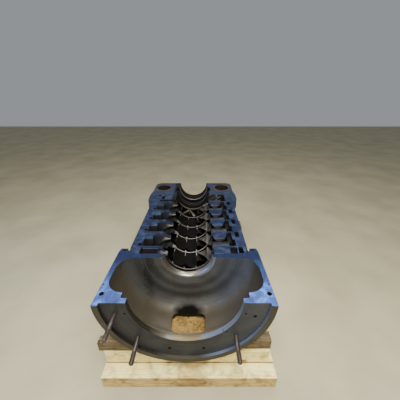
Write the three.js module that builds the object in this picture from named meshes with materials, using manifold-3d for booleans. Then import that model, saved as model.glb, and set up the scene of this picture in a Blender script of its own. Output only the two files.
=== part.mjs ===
// Lower half of a horizontally split multistage turbine casing, opened, resting on timber blocks.
// All lengths are millimetres. X runs across the axis, Y runs back along it, Z is up.
// While shaping, Y is counted back from the front rim and Z from the split face.
import * as THREE from "three";
import { mergeVertices } from "three/addons/utils/BufferGeometryUtils.js";
import Module from "manifold-3d";

const wasm = await Module();
wasm.setup();

// Driving dimensions
const SPLIT_HEIGHT = 715; // floor to split face
const GAP = 0.3; // clearance between neighbouring pieces
const ROUND_STEPS = 96; // facets in a full turn of the large rings

const RIM_RADIUS = 500;
const RIM_INNER_RADIUS = 465;
const FACE_SETBACK = 18; // recessed ring face behind the rim
const LIP_RADIUS = 321;
const LIP_BACK = 50;
const LIP_STEP_RADIUS = 358;
const LIP_STEP_LAND = 6; // flat left around the lip step
const END_WALL_BACK = 90;
const END_WALL_ROUND = 105; // how far back the chamber's front corner reaches

const CHAMBER_RADIUS = 467;
const CHAMBER_BACK = 383;
const CHAMBER_CORNER = 95;
const SHELL_RADIUS = 488;
const SHELL_TAPER = 30; // how much the shell narrows at its rear
const SHELL_TAPER_LENGTH = 60;
const REST_BAND_BACK = 155; // full-radius band behind the ring that lies on the timbers
const REST_BAND_SLOPE = 12;
const FRONT_SECTION_BACK = 430;

const BORE_RADIUS = 165;
const BORE_LIP_RADIUS = 190;
const BORE_LIP_FRONT = 387;
const LIP_ROUND_DEPTH = 30; // how far back the rounded mouth of the bore lip reaches
const REAR_WALL_STEPS = [[223, 4], [226, 2], [259, 1], [262, 3], [303, 2], [306, 0]]; // radius, set back

const FLANGE_DEPTH = 70; // thickness of the split flanges
const FLANGE_HALF_WIDTH = 500;
const LUG_NOTCH = [[424, 488], [434, 438], [443, 488], [492, 488], [500, 450]]; // slot and lug, x and y
const REAR_EDGE = [[420, 492], [430, 492], [430, 1200], [448, 1240], [470, 1290], [482, 1350], [485, 1430],
  [482, 1510], [472, 1570]]; // outer edge of the rear flanges, x and y
const REAR_CORNER = [470, 420]; // half widths where the rear flanges end and begin
const BARREL_INNER_RADIUS = 352;
const BARREL_RADIUS = 392;
const REAR_FACE = 1850;
const HOUSING_FRONT = 1590;

const FIRST_WALL = 455;
const STAGE_PITCH = 195;
const STAGE_COUNT = 6;
const WALL_THICKNESS = 18;
const WALL_DISH = 46; // how far a wall leans forward at its bore edge
const VANE_ANGLES = [-76, -46, -13, 18, 49, 79]; // degrees from the bottom, plus is right
const VANE_SWEEP = 19;
const VANE_THICKNESS = 12;
const LINER_INNER = 169;
const LINER_OUTER = 172;
const LINER_STAGES = [1, 2, 3, 4];
const RIB_ANGLES = [-46, -13, 18];
const LAND_DEPTH = 31;
const FIRST_LANDS = [[-25, 188, 296], [50, 181, 303]]; // y from the wall, left x, right x
const LANDS = [[-34, 194, 276], [10, 184, 292], [50, 179, 308]];
const RAMP_TOP = [[184, 42], [205, 51], [238, 69], [270, 85], [303, 100]]; // x and y of the upper edge
const RAMP_END = 168;
const RAMP_DROP = 50;
const RAMP_SKIN = 14; // thickness of the sloping part
const RAMP_ROOT = 30; // thickness where it leaves the wall
const RAMP_ROOT_LAP = 2;
const RECESS = [303, 351, 50, -70, -34]; // x0, x1, half length, z0, z1
const RIGHT_STRIP = [336, 351.7, 52, -70]; // x0, x1, half length, z0
const LEFT_FILL = [[64, -0.8], [-10, -4], [-24, -14], [-32, -44], [-32, -80], [64, -80]]; // y and z
const LEFT_FILL_REACH = [-351.7, -292];
const FIRST_TIP = [[-150, -24, 8, -3, 14], [-182, -24, 14, -3, 20], [-211, -22, 24, -6, 30],
  [-236, -6, 46, -22, 40]]; // x, front y, rear y, z, depth
const FIRST_BAND = [[64, -0.8], [34, -5], [30, -60], [64, -60]]; // y and z
const FIRST_BAND_REACH = [-340, -196];
const FIRST_TROUGH = [-340, -222, -8, 50, -90, -52]; // x0, x1, y0, y1, z0, z1
const LAST_LAND = [-351, -182, -92, 52, -40, 0]; // x0, x1, y0, y1 from the wall, z0, z1
const LAST_SLOT = [-338, -306, -76, -2];
const LAST_BLADE = [[112, -2, -121], [136, -14, -100], [176, -34, -70], [222, -42, -44], [266, -32, -20],
  [298, 2, -6]]; // x, y and z of the upper edge
const BLADE_WIDTH = [10, 34, -18]; // from the upper edge to the lower one
const BLADE_THICKNESS = 7;

const BOLT_CIRCLE_RADIUS = 403;
const BOLT_ANGLES = [-15, 15, 75]; // tapped holes that hold no stud
const BOLT_HOLE_RADIUS = 10;
const SMALL_HOLES = [[346, -76], [336, 45], [346, 76]]; // radius and angle of the small holes
const SMALL_HOLE_RADIUS = 6;
const HOLE_DEPTH = 24;
const STUD_ANGLES = [-77, -45, 47];
const STUD_RADIUS = 13.5;
const STUD_LENGTH = 148;
const DOWEL_HOLE_RADIUS = 14;
const DOWEL_PLACE = [472, 80];
const LUG_HOLE_RADIUS = 9;
const LUG_HOLE_PLACE = [466, 468];

const PORT_HALF_WIDTH = 121;
const PORT_FRONT = 158;
const PORT_BACK = 306;
const PORT_CORNER = 40;

const POCKET_DEPTH = 60;
const RIGHT_POCKETS = [468, 670, 870, 1071, 1250];
const LEFT_POCKETS = [538, 740, 935, 1130, 1450];

const SEAL_BORE = 160;
const SEAL_GROOVE = 178;
const CARRIER_BORE = 190;
const SEAL_INSET = 6;
const SEAL_TEETH = [68, 28]; // y of the rear strips from the seal's front
const TOOTH_WIDTH = 8;
const HOUSING_HALF_WIDTH = 470;
const HOUSING_SECTION = [[470, 0], [470, -150], [445, -205], [400, -262], [330, -320], [262, -356],
  [190, -382], [100, -396]]; // right half, x and z
const HOUSING_RECESS_RADIUS = 205;
const HOUSING_RECESS_BACK = 1702;

const ROUND_POCKETS = [[-362, 1700, 80], [348, 1705, 84]]; // x, y and radius
const ROUND_POCKET_DEPTH = 130;
const SPOT_FACE = 28; // width of the turned face around a round pocket
const SPOT_FACE_DEPTH = 4;
const HOUSING_CORNER = 70;

// Timbers, each [x0, x1, y0, y1]
const BEAM_HEIGHT = 100;
const FRONT_BEAM = [-551, 577, -33, 210];
const FRONT_PLANK = [-549, 543, 62, 150];
const LEFT_CHOCK = [-578, -215, 66, 118];
const RIGHT_CHOCK = [215, 547, 78, 148];
const CHOCK_TOP = -420;
const SECOND_BEAM = [-560, 540, 211, 340];
const SECOND_PLANK = [-530, 530, 151, 330];
const REAR_BEAM = [-560, 560, 1560, 1760];
const REAR_BEAM_HEIGHT = 115;
const REAR_MIDDLE_BEAM = [-622, 622, 1580, 1740];
const REAR_TOP_BEAM = [-500, 520, 1600, 1730];
const HOUSING_DEPTH = 400;

const radians = (degrees) => (degrees * Math.PI) / 180;

// Turns a closed surface into a solid with its faces pointing out.
function toSolid(geometry) {
  geometry.deleteAttribute("normal");
  geometry.deleteAttribute("uv");
  const merged = mergeVertices(geometry, 1e-4);
  const position = merged.attributes.position;
  const index = Array.from(merged.index.array);
  const triangles = [];
  let volume = 0;
  const a = new THREE.Vector3();
  const b = new THREE.Vector3();
  const c = new THREE.Vector3();
  for (let i = 0; i < index.length; i += 3) {
    const [p, q, r] = [index[i], index[i + 1], index[i + 2]];
    if (p === q || q === r || r === p) continue;
    a.fromBufferAttribute(position, p);
    b.fromBufferAttribute(position, q);
    c.fromBufferAttribute(position, r);
    volume += a.dot(b.cross(c));
    triangles.push(p, q, r);
  }
  if (volume < 0) {
    for (let i = 0; i < triangles.length; i += 3) {
      const swap = triangles[i + 1];
      triangles[i + 1] = triangles[i + 2];
      triangles[i + 2] = swap;
    }
  }
  const mesh = new wasm.Mesh({
    numProp: 3,
    vertProperties: new Float32Array(position.array),
    triVerts: new Uint32Array(triangles),
  });
  return new wasm.Manifold(mesh);
}

function block(x0, x1, y0, y1, z0, z1) {
  const geometry = new THREE.BoxGeometry(x1 - x0, y1 - y0, z1 - z0);
  geometry.translate((x0 + x1) / 2, (y0 + y1) / 2, (z0 + z1) / 2);
  return toSolid(geometry);
}

// A ring about the machine axis from a closed profile of [radius, y] points.
function ring(profile, steps = ROUND_STEPS) {
  const points = profile.map(([r, y]) => new THREE.Vector2(r, y));
  points.push(points[0].clone());
  return toSolid(new THREE.LatheGeometry(points, steps));
}

function outline(points) {
  const shape = new THREE.Shape();
  shape.moveTo(points[0][0], points[0][1]);
  for (const [x, y] of points.slice(1)) shape.lineTo(x, y);
  shape.closePath();
  return shape;
}

// A plate lying flat, from an outline of [x, y] points.
function plate(points, z0, z1) {
  const geometry = new THREE.ExtrudeGeometry(outline(points), { depth: z1 - z0, bevelEnabled: false });
  geometry.translate(0, 0, z0);
  return toSolid(geometry);
}

// A bar along the machine axis, from a section of [x, z] points.
function bar(points, y0, y1) {
  const geometry = new THREE.ExtrudeGeometry(outline(points), { depth: y1 - y0, bevelEnabled: false });
  geometry.rotateX(Math.PI / 2);
  geometry.translate(0, y1, 0);
  return toSolid(geometry);
}

function upright(radius, x, y, z0, z1, steps = 20) {
  const geometry = new THREE.CylinderGeometry(radius, radius, z1 - z0, steps);
  geometry.rotateX(Math.PI / 2);
  geometry.translate(x, y, (z0 + z1) / 2);
  return toSolid(geometry);
}

function level(radius, x, z, y0, y1, steps = 20) {
  const geometry = new THREE.CylinderGeometry(radius, radius, y1 - y0, steps);
  geometry.translate(x, (y0 + y1) / 2, z);
  return toSolid(geometry);
}

// A solid through matching outlines of [x, y, z] points, one hull between each two neighbours.
function lofted(sections) {
  let solid = null;
  for (let i = 1; i < sections.length; i += 1) {
    const next = wasm.Manifold.hull([...sections[i - 1], ...sections[i]]);
    solid = solid === null ? next : solid.add(next);
  }
  return solid;
}

const below = (z) => block(-700, 700, -300, 2000, -900, z);
const mirrored = (points) => points.map(([x, y]) => [-x, y]).reverse();

// Where a point on a ring sits in X and Z, its angle counted from the bottom.
function around(radius, degrees) {
  return [radius * Math.sin(radians(degrees)), -radius * Math.cos(radians(degrees))];
}

const FINISH = {
  split_face_iron: { color: 0x55699a, roughness: 0.5, metalness: 0.35 },
  chamber_iron: { color: 0x4f4b44, roughness: 0.6, metalness: 0.4 },
  turned_iron: { color: 0x9b988f, roughness: 0.35, metalness: 0.7 },
  face_iron: { color: 0x45463f, roughness: 0.65, metalness: 0.3 },
  stage_iron: { color: 0x4a4640, roughness: 0.6, metalness: 0.4 },
  rusty_iron: { color: 0x5c5048, roughness: 0.75, metalness: 0.3 },
  stud_steel: { color: 0x524846, roughness: 0.5, metalness: 0.6 },
  new_pine: { color: 0xdcc08c, roughness: 0.8, metalness: 0 },
  old_wood: { color: 0x755c42, roughness: 0.85, metalness: 0 },
};

const casing = new THREE.Group();
casing.name = "lower_casing_half_on_timbers";

function addNode(name, finish, solid) {
  const mesh = solid.getMesh();
  const geometry = new THREE.BufferGeometry();
  geometry.setAttribute("position", new THREE.BufferAttribute(new Float32Array(mesh.vertProperties), 3));
  geometry.setIndex(new THREE.BufferAttribute(new Uint32Array(mesh.triVerts), 1));
  geometry.translate(0, -(REAR_FACE + FACE_SETBACK - STUD_LENGTH) / 2, SPLIT_HEIGHT);
  geometry.computeVertexNormals();
  const node = new THREE.Mesh(geometry, new THREE.MeshStandardMaterial(FINISH[finish]));
  node.name = name;
  node.material.name = finish;
  casing.add(node);
}

// Front ring: rim, recessed face, turned lip
const frontRing = ring([
  [LIP_RADIUS, FACE_SETBACK],
  [RIM_INNER_RADIUS, FACE_SETBACK],
  [RIM_INNER_RADIUS, 0],
  [RIM_RADIUS, 0],
  [RIM_RADIUS, LIP_BACK],
  [LIP_RADIUS, LIP_BACK],
]);
let front = frontRing.intersect(below(0));
for (const angle of BOLT_ANGLES) {
  const [x, z] = around(BOLT_CIRCLE_RADIUS, angle);
  front = front.subtract(level(BOLT_HOLE_RADIUS, x, z, -5, FACE_SETBACK + HOLE_DEPTH));
}
for (const [radius, angle] of SMALL_HOLES) {
  const [x, z] = around(radius, angle);
  front = front.subtract(level(SMALL_HOLE_RADIUS, x, z, -5, FACE_SETBACK + HOLE_DEPTH / 2, 12));
}
const studSeats = STUD_ANGLES.map((angle) => around(BOLT_CIRCLE_RADIUS, angle));
for (const [x, z] of studSeats) {
  front = front.subtract(level(STUD_RADIUS + GAP, x, z, FACE_SETBACK - 5, LIP_BACK - 10));
}
addNode("front_ring_flange", "face_iron", front);

// Second step of the end wall, and the shell of the annular chamber
function chamberProfile() {
  const points = [];
  const flat = LIP_STEP_RADIUS + LIP_STEP_LAND;
  for (let i = 0; i <= 8; i += 1) {
    const turn = (i / 8) * Math.PI / 2;
    points.push([
      flat + (CHAMBER_RADIUS - flat) * Math.sin(turn),
      END_WALL_BACK + END_WALL_ROUND * (1 - Math.cos(turn)),
    ]);
  }
  for (let i = 0; i <= 8; i += 1) {
    const turn = (i / 8) * Math.PI / 2;
    points.push([
      CHAMBER_RADIUS - CHAMBER_CORNER * (1 - Math.cos(turn)),
      CHAMBER_BACK - CHAMBER_CORNER * (1 - Math.sin(turn)),
    ]);
  }
  return points;
}
const shellRing = ring([
  [LIP_STEP_RADIUS, LIP_BACK + GAP],
  ...chamberProfile(),
  [CHAMBER_RADIUS - CHAMBER_CORNER, FRONT_SECTION_BACK],
  [SHELL_RADIUS - SHELL_TAPER, FRONT_SECTION_BACK],
  [SHELL_RADIUS, FRONT_SECTION_BACK - SHELL_TAPER_LENGTH],
  [SHELL_RADIUS, REST_BAND_BACK + REST_BAND_SLOPE],
  [RIM_RADIUS, REST_BAND_BACK],
  [RIM_RADIUS, LIP_BACK + GAP],
]);
function roundedPlan(halfWidth, y0, y1, corner, steps) {
  const points = [];
  for (const [sx, sy, start] of [[1, 1, 0], [-1, 1, 90], [-1, -1, 180], [1, -1, 270]]) {
    for (let i = 0; i <= steps; i += 1) {
      const turn = radians(start + (i * 90) / steps);
      const middleY = (y0 + y1) / 2 + sy * ((y1 - y0) / 2 - corner);
      points.push([sx * (halfWidth - corner) + corner * Math.cos(turn), middleY + corner * Math.sin(turn)]);
    }
  }
  return points;
}
const portCut = plate(roundedPlan(PORT_HALF_WIDTH, PORT_FRONT, PORT_BACK, PORT_CORNER, 5), -520, -400);
const shell = shellRing.intersect(below(-FLANGE_DEPTH - GAP)).subtract(portCut);
addNode("chamber_shell", "chamber_iron", shell);

// Bowl-shaped rear wall of the chamber with turned steps
const rearWall = ring([
  [BORE_LIP_RADIUS + GAP, CHAMBER_BACK + REAR_WALL_STEPS[0][1]],
  ...REAR_WALL_STEPS.map(([radius, setBack]) => [radius, CHAMBER_BACK + setBack]),
  [CHAMBER_RADIUS - CHAMBER_CORNER - GAP, CHAMBER_BACK],
  [CHAMBER_RADIUS - CHAMBER_CORNER - GAP, FRONT_SECTION_BACK],
  [BORE_LIP_RADIUS + GAP, FRONT_SECTION_BACK],
]).intersect(below(0));
addNode("chamber_rear_wall", "chamber_iron", rearWall);

const lipSection = [[BORE_LIP_RADIUS, FRONT_SECTION_BACK], [BORE_LIP_RADIUS, BORE_LIP_FRONT]];
for (let i = 1; i <= 6; i += 1) {
  const turn = ((i / 6) * Math.PI) / 2;
  lipSection.push([
    BORE_LIP_RADIUS - (BORE_LIP_RADIUS - BORE_RADIUS) * Math.pow(Math.sin(turn), 1.3),
    BORE_LIP_FRONT + LIP_ROUND_DEPTH * Math.pow(1 - Math.cos(turn), 1.2),
  ]);
}
lipSection.push([BORE_RADIUS, FRONT_SECTION_BACK]);
addNode("bore_lip_ring", "turned_iron", ring(lipSection).intersect(below(0)));

// Split flanges beside the chamber, with their lugs and slots
const frontFlangeRight = [
  [LIP_STEP_RADIUS, LIP_BACK + GAP],
  ...chamberProfile(),
  [CHAMBER_RADIUS - CHAMBER_CORNER, FRONT_SECTION_BACK - GAP],
  [LUG_NOTCH[0][0], FRONT_SECTION_BACK - GAP],
  ...LUG_NOTCH,
  [FLANGE_HALF_WIDTH, LIP_BACK + GAP],
];
function frontFlange(points, side) {
  let solid = plate(points, -FLANGE_DEPTH, 0);
  const [dowelX, dowelY] = DOWEL_PLACE;
  const [lugX, lugY] = LUG_HOLE_PLACE;
  solid = solid.subtract(upright(DOWEL_HOLE_RADIUS, side * dowelX, dowelY, -60, 10));
  solid = solid.subtract(upright(LUG_HOLE_RADIUS, side * lugX, lugY, -50, 10));
  return solid;
}
addNode("front_split_flange_right", "split_face_iron", frontFlange(frontFlangeRight, 1));
addNode("front_split_flange_left", "split_face_iron", frontFlange(mirrored(frontFlangeRight), -1));

// Split flanges of the stage section, widening into the rear lobes
const [rearCornerX, frontCornerX] = REAR_CORNER;
const rearFlangeRight = [
  [BARREL_INNER_RADIUS + GAP, FRONT_SECTION_BACK + GAP],
  [frontCornerX, FRONT_SECTION_BACK + GAP],
  ...REAR_EDGE,
  [rearCornerX, HOUSING_FRONT - GAP],
  [BARREL_INNER_RADIUS + GAP, HOUSING_FRONT - GAP],
];
let rearRight = plate(rearFlangeRight, -FLANGE_DEPTH, 0);
for (const y of RIGHT_POCKETS) {
  rearRight = rearRight.subtract(block(362, 396, y - 34, y + 34, -POCKET_DEPTH, 10));
}
let rearLeft = plate(mirrored(rearFlangeRight), -FLANGE_DEPTH, 0);
for (const y of LEFT_POCKETS) {
  rearLeft = rearLeft.subtract(block(-381, -357, y - 16, y + 16, -POCKET_DEPTH, 10));
}
addNode("rear_split_flange_right", "split_face_iron", rearRight);
addNode("rear_split_flange_left", "split_face_iron", rearLeft);

const barrel = ring([
  [BARREL_INNER_RADIUS + GAP, FRONT_SECTION_BACK + GAP],
  [BARREL_RADIUS, FRONT_SECTION_BACK + GAP],
  [BARREL_RADIUS, HOUSING_FRONT - GAP],
  [BARREL_INNER_RADIUS + GAP, HOUSING_FRONT - GAP],
]).intersect(below(-FLANGE_DEPTH - GAP));
addNode("stage_barrel", "stage_iron", barrel);

// Stage walls: each leans forward at the bore and carries swept vanes on its front
function wallProfile(y, grow) {
  const t = WALL_THICKNESS / 2;
  return [
    [BORE_RADIUS, y - 6 - grow],
    [BORE_RADIUS + 20, y - 2 - grow],
    [228, y + WALL_DISH - grow],
    [BARREL_INNER_RADIUS, y + WALL_DISH - grow],
    [BARREL_INNER_RADIUS, y + WALL_DISH + 2 * t + grow],
    [222, y + WALL_DISH + 2 * t + grow],
    [BORE_RADIUS + 12, y + 12 + grow],
    [BORE_RADIUS, y + 6 + grow],
  ];
}

// The space in front of a wall that its vanes fill, their front edges leaning back outwards.
function vaneSpace(y, front) {
  const out = BARREL_INNER_RADIUS - 8;
  return ring([
    [BORE_RADIUS + 10, Math.max(front, y - 107)],
    [200, Math.max(front, y - 75)],
    [270, Math.max(front, y - 40)],
    [out, Math.max(front, y - 40)],
    [out, y + WALL_DISH + 6],
    [226, y + WALL_DISH + 6],
    [BORE_RADIUS + 10, y + 3],
  ]);
}

function vaneSection(angle) {
  const innerSide = [];
  const outerSide = [];
  const steps = 4;
  for (let i = 0; i <= steps; i += 1) {
    const share = i / steps;
    const radius = BORE_RADIUS + 5 + (BARREL_INNER_RADIUS - BORE_RADIUS - 8) * share;
    const turn = angle + VANE_SWEEP * share;
    const spread = (VANE_THICKNESS / 2 / radius) * (180 / Math.PI);
    innerSide.push(around(radius, turn - spread));
    outerSide.push(around(radius, turn + spread));
  }
  return [...innerSide, ...outerSide.reverse()];
}

// Right land: a cut vane with a flat top, wider at its rear, and a lens-shaped underside.
function rightLand(y, spans) {
  return lofted(spans.map(([back, left, right]) => {
    const points = [[left, y + back, 0], [right, y + back, 0]];
    for (let i = 0; i <= 8; i += 1) {
      const share = i / 8;
      const drop = LAND_DEPTH * Math.pow(Math.sin(Math.PI * share), 0.7);
      points.push([left + (right - left) * share, y + back, -1 - drop]);
    }
    return points;
  }));
}

// Right ramp: hollow slope behind a wall, from the split face down under the next land.
function rightRamp(y, grow) {
  const shares = [0, 0.26, 0.5, 0.75, 1];
  const last = RAMP_TOP.length - 1;
  const corner = (i, share, under) => {
    const [x, edge] = RAMP_TOP[i];
    const aside = i === 0 ? -grow : i === last ? grow : 0;
    const along = edge + (RAMP_END - edge) * share + (share - 0.5) * 2 * grow;
    const height = -0.8 - RAMP_DROP * Math.pow(share, 1.4);
    return [x + aside, y + along, height + (under ? -RAMP_SKIN - grow : grow)];
  };
  const cells = [];
  for (let i = 1; i <= last; i += 1) {
    for (let j = 1; j < shares.length; j += 1) {
      const corners = [];
      for (const share of [shares[j - 1], shares[j]]) {
        for (const under of [false, true]) {
          corners.push(corner(i - 1, share, under), corner(i, share, under));
        }
      }
      cells.push(wasm.Manifold.hull(corners));
    }
    const root = [];
    for (const [x, edge] of [RAMP_TOP[i - 1], RAMP_TOP[i]]) {
      const reach = y + Math.max(edge, WALL_DISH) + RAMP_ROOT_LAP;
      const rear = y + WALL_DISH + RAMP_ROOT_LAP;
      root.push([x, rear, -RAMP_ROOT_LAP], [x, rear, -RAMP_ROOT]);
      root.push([x, reach, -RAMP_ROOT_LAP], [x, reach, -RAMP_SKIN]);
    }
    cells.push(wasm.Manifold.hull(root));
  }
  return cells.reduce((solid, cell) => solid.add(cell));
}

// A prism that runs along X, from a section of [y, z] points that bulges outwards everywhere.
function crossPrism(section, [x0, x1], y) {
  return lofted([x0, x1].map((x) => section.map(([back, z]) => [x, y + back, z])));
}

// First stage, left: the tip at the bore, the trough beside it and the sloping band behind both.
function firstLeft(y) {
  const [x0, x1, y0, y1, z0, z1] = FIRST_TROUGH;
  const tip = lofted(FIRST_TIP.map(([x, front, rear, z, depth]) => [
    [x, y + front, z],
    [x, y + rear, z],
    [x, y + rear, z - depth],
    [x, y + front, z - depth],
  ]));
  return tip.add(crossPrism(FIRST_BAND, FIRST_BAND_REACH, y)).add(block(x0, x1, y + y0, y + y1, z0, z1));
}

// Last stage: a flat slotted land on the left and a bright curved blade on the right.
function lastLand(y) {
  const [x0, x1, y0, y1, z0, z1] = LAST_LAND;
  const [slotLeft, slotRight, slotFront, slotBack] = LAST_SLOT;
  return block(x0, x1, y + y0, y + y1, z0, z1)
    .subtract(block(slotLeft, slotRight, y + slotFront, y + slotBack, z0 - 10, z1 + 10));
}
function lastBlade(y) {
  return lofted(LAST_BLADE.map(([x, back, z]) => {
    const [dx, dy, dz] = BLADE_WIDTH;
    return [
      [x, y + back, z],
      [x, y + back, z - BLADE_THICKNESS],
      [x + dx, y + back + dy, Math.min(z + dz, -1.5)],
      [x + dx, y + back + dy, z + dz - BLADE_THICKNESS],
    ];
  }));
}

// Left wing: flat near the bore, then falling outwards and forwards.
const WING = [[-150, -44, -2, 10, 0, 12], [-205, -50, -10, 44, 0, 34], [-258, -84, -70, 50, -4, 60],
  [-300, -92, -156, 50, -30, 60]]; // x, front y and z, rear y and z, depth
function leftWing(y) {
  return lofted(WING.map(([x, frontY, frontZ, rearY, rearZ, depth]) => [
    [x, y + frontY, frontZ],
    [x, y + frontY + (rearY - frontY) * 0.4, frontZ + (rearZ - frontZ) * 0.6],
    [x, y + rearY, rearZ],
    [x, y + rearY, rearZ - depth - 6],
    [x, y + frontY + 4, frontZ - depth / 2],
  ]));
}

// Left hump: a rounded vane that narrows to a tongue at the bore.
const HUMP = [[-112, 2, -119, 7, 4], [-156, -24, -72, 30, 15], [-200, -52, -55, 42, 24],
  [-262, -70, -104, 44, 32], [-300, -72, -165, 40, 34]]; // x, y, z, half width, half thickness
function leftHump(y) {
  return lofted(HUMP.map(([x, back, z, halfWidth, halfThickness]) => {
    const points = [];
    for (let i = 0; i < 8; i += 1) {
      const turn = (i / 8) * Math.PI * 2;
      points.push([x, y + back + halfWidth * Math.cos(turn), z + halfThickness * Math.sin(turn)]);
    }
    return points;
  }));
}

// Guide blade: broad and flush with the bore, winding forward and to the right from the wall.
const GUIDE = [[17, -5, 1], [28, -40, -2], [40, -84, -7], [50, -130, -12], [58, -168, -18], [68, -180, -26],
  [78, -182, -34], [87, -182, -40]]; // angle, y of the front edge, y of the rear edge
const GUIDE_SINK = 9; // the rear edge lies deeper than the front one
const GUIDE_THICKNESS = 5;
function guideBlade(y) {
  return lofted(GUIDE.map(([angle, frontEdge, rearEdge]) => {
    const points = [];
    for (const [back, radius] of [[frontEdge, BORE_RADIUS + 1], [rearEdge, BORE_RADIUS + 1 + GUIDE_SINK]]) {
      for (const reach of [0, GUIDE_THICKNESS]) {
        const [x, z] = around(radius + reach, angle);
        points.push([x, y + back, z]);
      }
    }
    return points;
  }));
}

// Chevrons at the last wall: plates on edge, each given by angle, y and reach away from the bore.
const CHEVRONS = [
  [[-15, -6, 30], [-9, -48, 34], [-2, -96, 34], [4, -136, 26], [9, -168, 16]],
  [[-15, -6, 30], [-19, -26, 30], [-23, -46, 26], [-27, -64, 20], [-31, -82, 14]],
  [[22, -8, 30], [28, -36, 34], [34, -70, 32], [40, -104, 24], [46, -140, 14]],
];
const CHEVRON_HALF = 4;
const CHEVRON_LEAN = 7; // degrees that the outer edge is ahead of the inner one
function chevron(y, path) {
  return lofted(path.map(([angle, back, reach]) => {
    const points = [];
    for (const [x, z] of [around(BORE_RADIUS, angle), around(BORE_RADIUS + reach, angle + CHEVRON_LEAN)]) {
      points.push([x, y + back - CHEVRON_HALF, z], [x, y + back + CHEVRON_HALF, z]);
    }
    return points;
  }));
}

// Liner plates and ribs between two walls.
function sector(inner, outer, y0, y1, from, to) {
  const points = [];
  const steps = 5;
  for (let i = 0; i <= steps; i += 1) points.push(around(inner, from + ((to - from) * i) / steps));
  for (let i = steps; i >= 0; i -= 1) points.push(around(outer, from + ((to - from) * i) / steps));
  return bar(points, y0, y1);
}
function liner(y, previous) {
  let solid = sector(LINER_INNER, LINER_OUTER, previous + 30, y + 2, -46, -13);
  solid = solid.add(sector(LINER_INNER, LINER_OUTER, previous + 30, y + 2, -13, 6));
  solid = solid.add(sector(LINER_INNER + 8, LINER_OUTER + 10, previous + 30, y + 2, 5, 18));
  for (const angle of RIB_ANGLES) {
    const half = 1;
    const rib = sector(BORE_RADIUS + 2, LINER_OUTER + 8, previous + 30, y + 2, angle - half, angle + half);
    solid = solid.add(rib);
  }
  return solid.add(sector(LINER_INNER, LINER_OUTER + 9, previous + 30, y + 2, 5, 6.5));
}

const bodyOfStages = ring([
  [BORE_RADIUS - 3, 400],
  [BARREL_INNER_RADIUS - GAP, 400],
  [BARREL_INNER_RADIUS - GAP, 1700],
  [BORE_RADIUS - 3, 1700],
]).intersect(below(0));

for (let stage = 0; stage < STAGE_COUNT; stage += 1) {
  const y = FIRST_WALL + STAGE_PITCH * stage;
  const first = stage === 0;
  const free = first ? FRONT_SECTION_BACK + GAP : y - STAGE_PITCH + WALL_DISH + WALL_THICKNESS + 2;
  const space = vaneSpace(y, free);
  let solid = ring(wallProfile(y, 0));
  const cutVane = first || stage === STAGE_COUNT - 1 ? null : VANE_ANGLES[VANE_ANGLES.length - 1];
  for (const angle of VANE_ANGLES.filter((each) => each !== cutVane)) {
    solid = solid.add(bar(vaneSection(angle), y - STAGE_PITCH, y + 80).intersect(space));
  }
  const last = stage === STAGE_COUNT - 1;
  if (first) {
    solid = solid.add(firstLeft(y)).add(rightLand(y, FIRST_LANDS));
  } else {
    solid = solid.add(guideBlade(y));
  }
  if (last) {
    solid = solid.add(lastLand(y)).add(lastBlade(y));
    for (const path of CHEVRONS) solid = solid.add(chevron(y, path));
  } else {
    const [x0, x1, half, z0, z1] = RECESS;
    solid = solid.add(block(x0, x1, y - Math.min(half, y - free), y + half, z0, z1));
    if (!first) {
      const [stripLeft, stripRight, stripHalf, stripLow] = RIGHT_STRIP;
      solid = solid.add(rightLand(y, LANDS)).add(leftWing(y)).add(leftHump(y));
      solid = solid.add(block(stripLeft, stripRight, y - stripHalf, y + stripHalf, stripLow, 0));
      solid = solid.add(crossPrism(LEFT_FILL, LEFT_FILL_REACH, y));
    }
  }
  if (!first) {
    solid = solid.subtract(ring(wallProfile(y - STAGE_PITCH, GAP)));
    solid = solid.subtract(rightRamp(y - STAGE_PITCH, GAP));
  }
  if (!last) solid = solid.add(rightRamp(y, 0));
  if (LINER_STAGES.includes(stage)) solid = solid.add(liner(y, y - STAGE_PITCH));
  solid = solid.intersect(bodyOfStages);
  addNode(`stage_wall_${stage + 1}`, "stage_iron", solid);
}

// Seal rings behind the last stage
const lastWall = FIRST_WALL + STAGE_PITCH * (STAGE_COUNT - 1) + WALL_DISH + WALL_THICKNESS;
const sealCarrier = ring([
  [CARRIER_BORE, lastWall + GAP],
  [BARREL_INNER_RADIUS - GAP, lastWall + GAP],
  [BARREL_INNER_RADIUS - GAP, HOUSING_FRONT - GAP],
  [CARRIER_BORE, HOUSING_FRONT - GAP],
]).intersect(below(0));
addNode("seal_carrier", "split_face_iron", sealCarrier);
const sealFront = lastWall + SEAL_INSET;
const sealBack = HOUSING_FRONT - SEAL_INSET;
const sealProfile = [
  [SEAL_BORE, sealFront],
  [CARRIER_BORE - GAP, sealFront],
  [CARRIER_BORE - GAP, sealBack],
  [SEAL_GROOVE, sealBack],
];
for (const tooth of SEAL_TEETH) {
  const back = sealFront + tooth + TOOTH_WIDTH;
  sealProfile.push([SEAL_GROOVE, back], [SEAL_BORE, back]);
  sealProfile.push([SEAL_BORE, sealFront + tooth], [SEAL_GROOVE, sealFront + tooth]);
}
sealProfile.push([SEAL_GROOVE, sealFront + TOOTH_WIDTH], [SEAL_BORE, sealFront + TOOTH_WIDTH]);
const sealRing = ring(sealProfile).intersect(below(0));
addNode("seal_ring", "turned_iron", sealRing);

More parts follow.
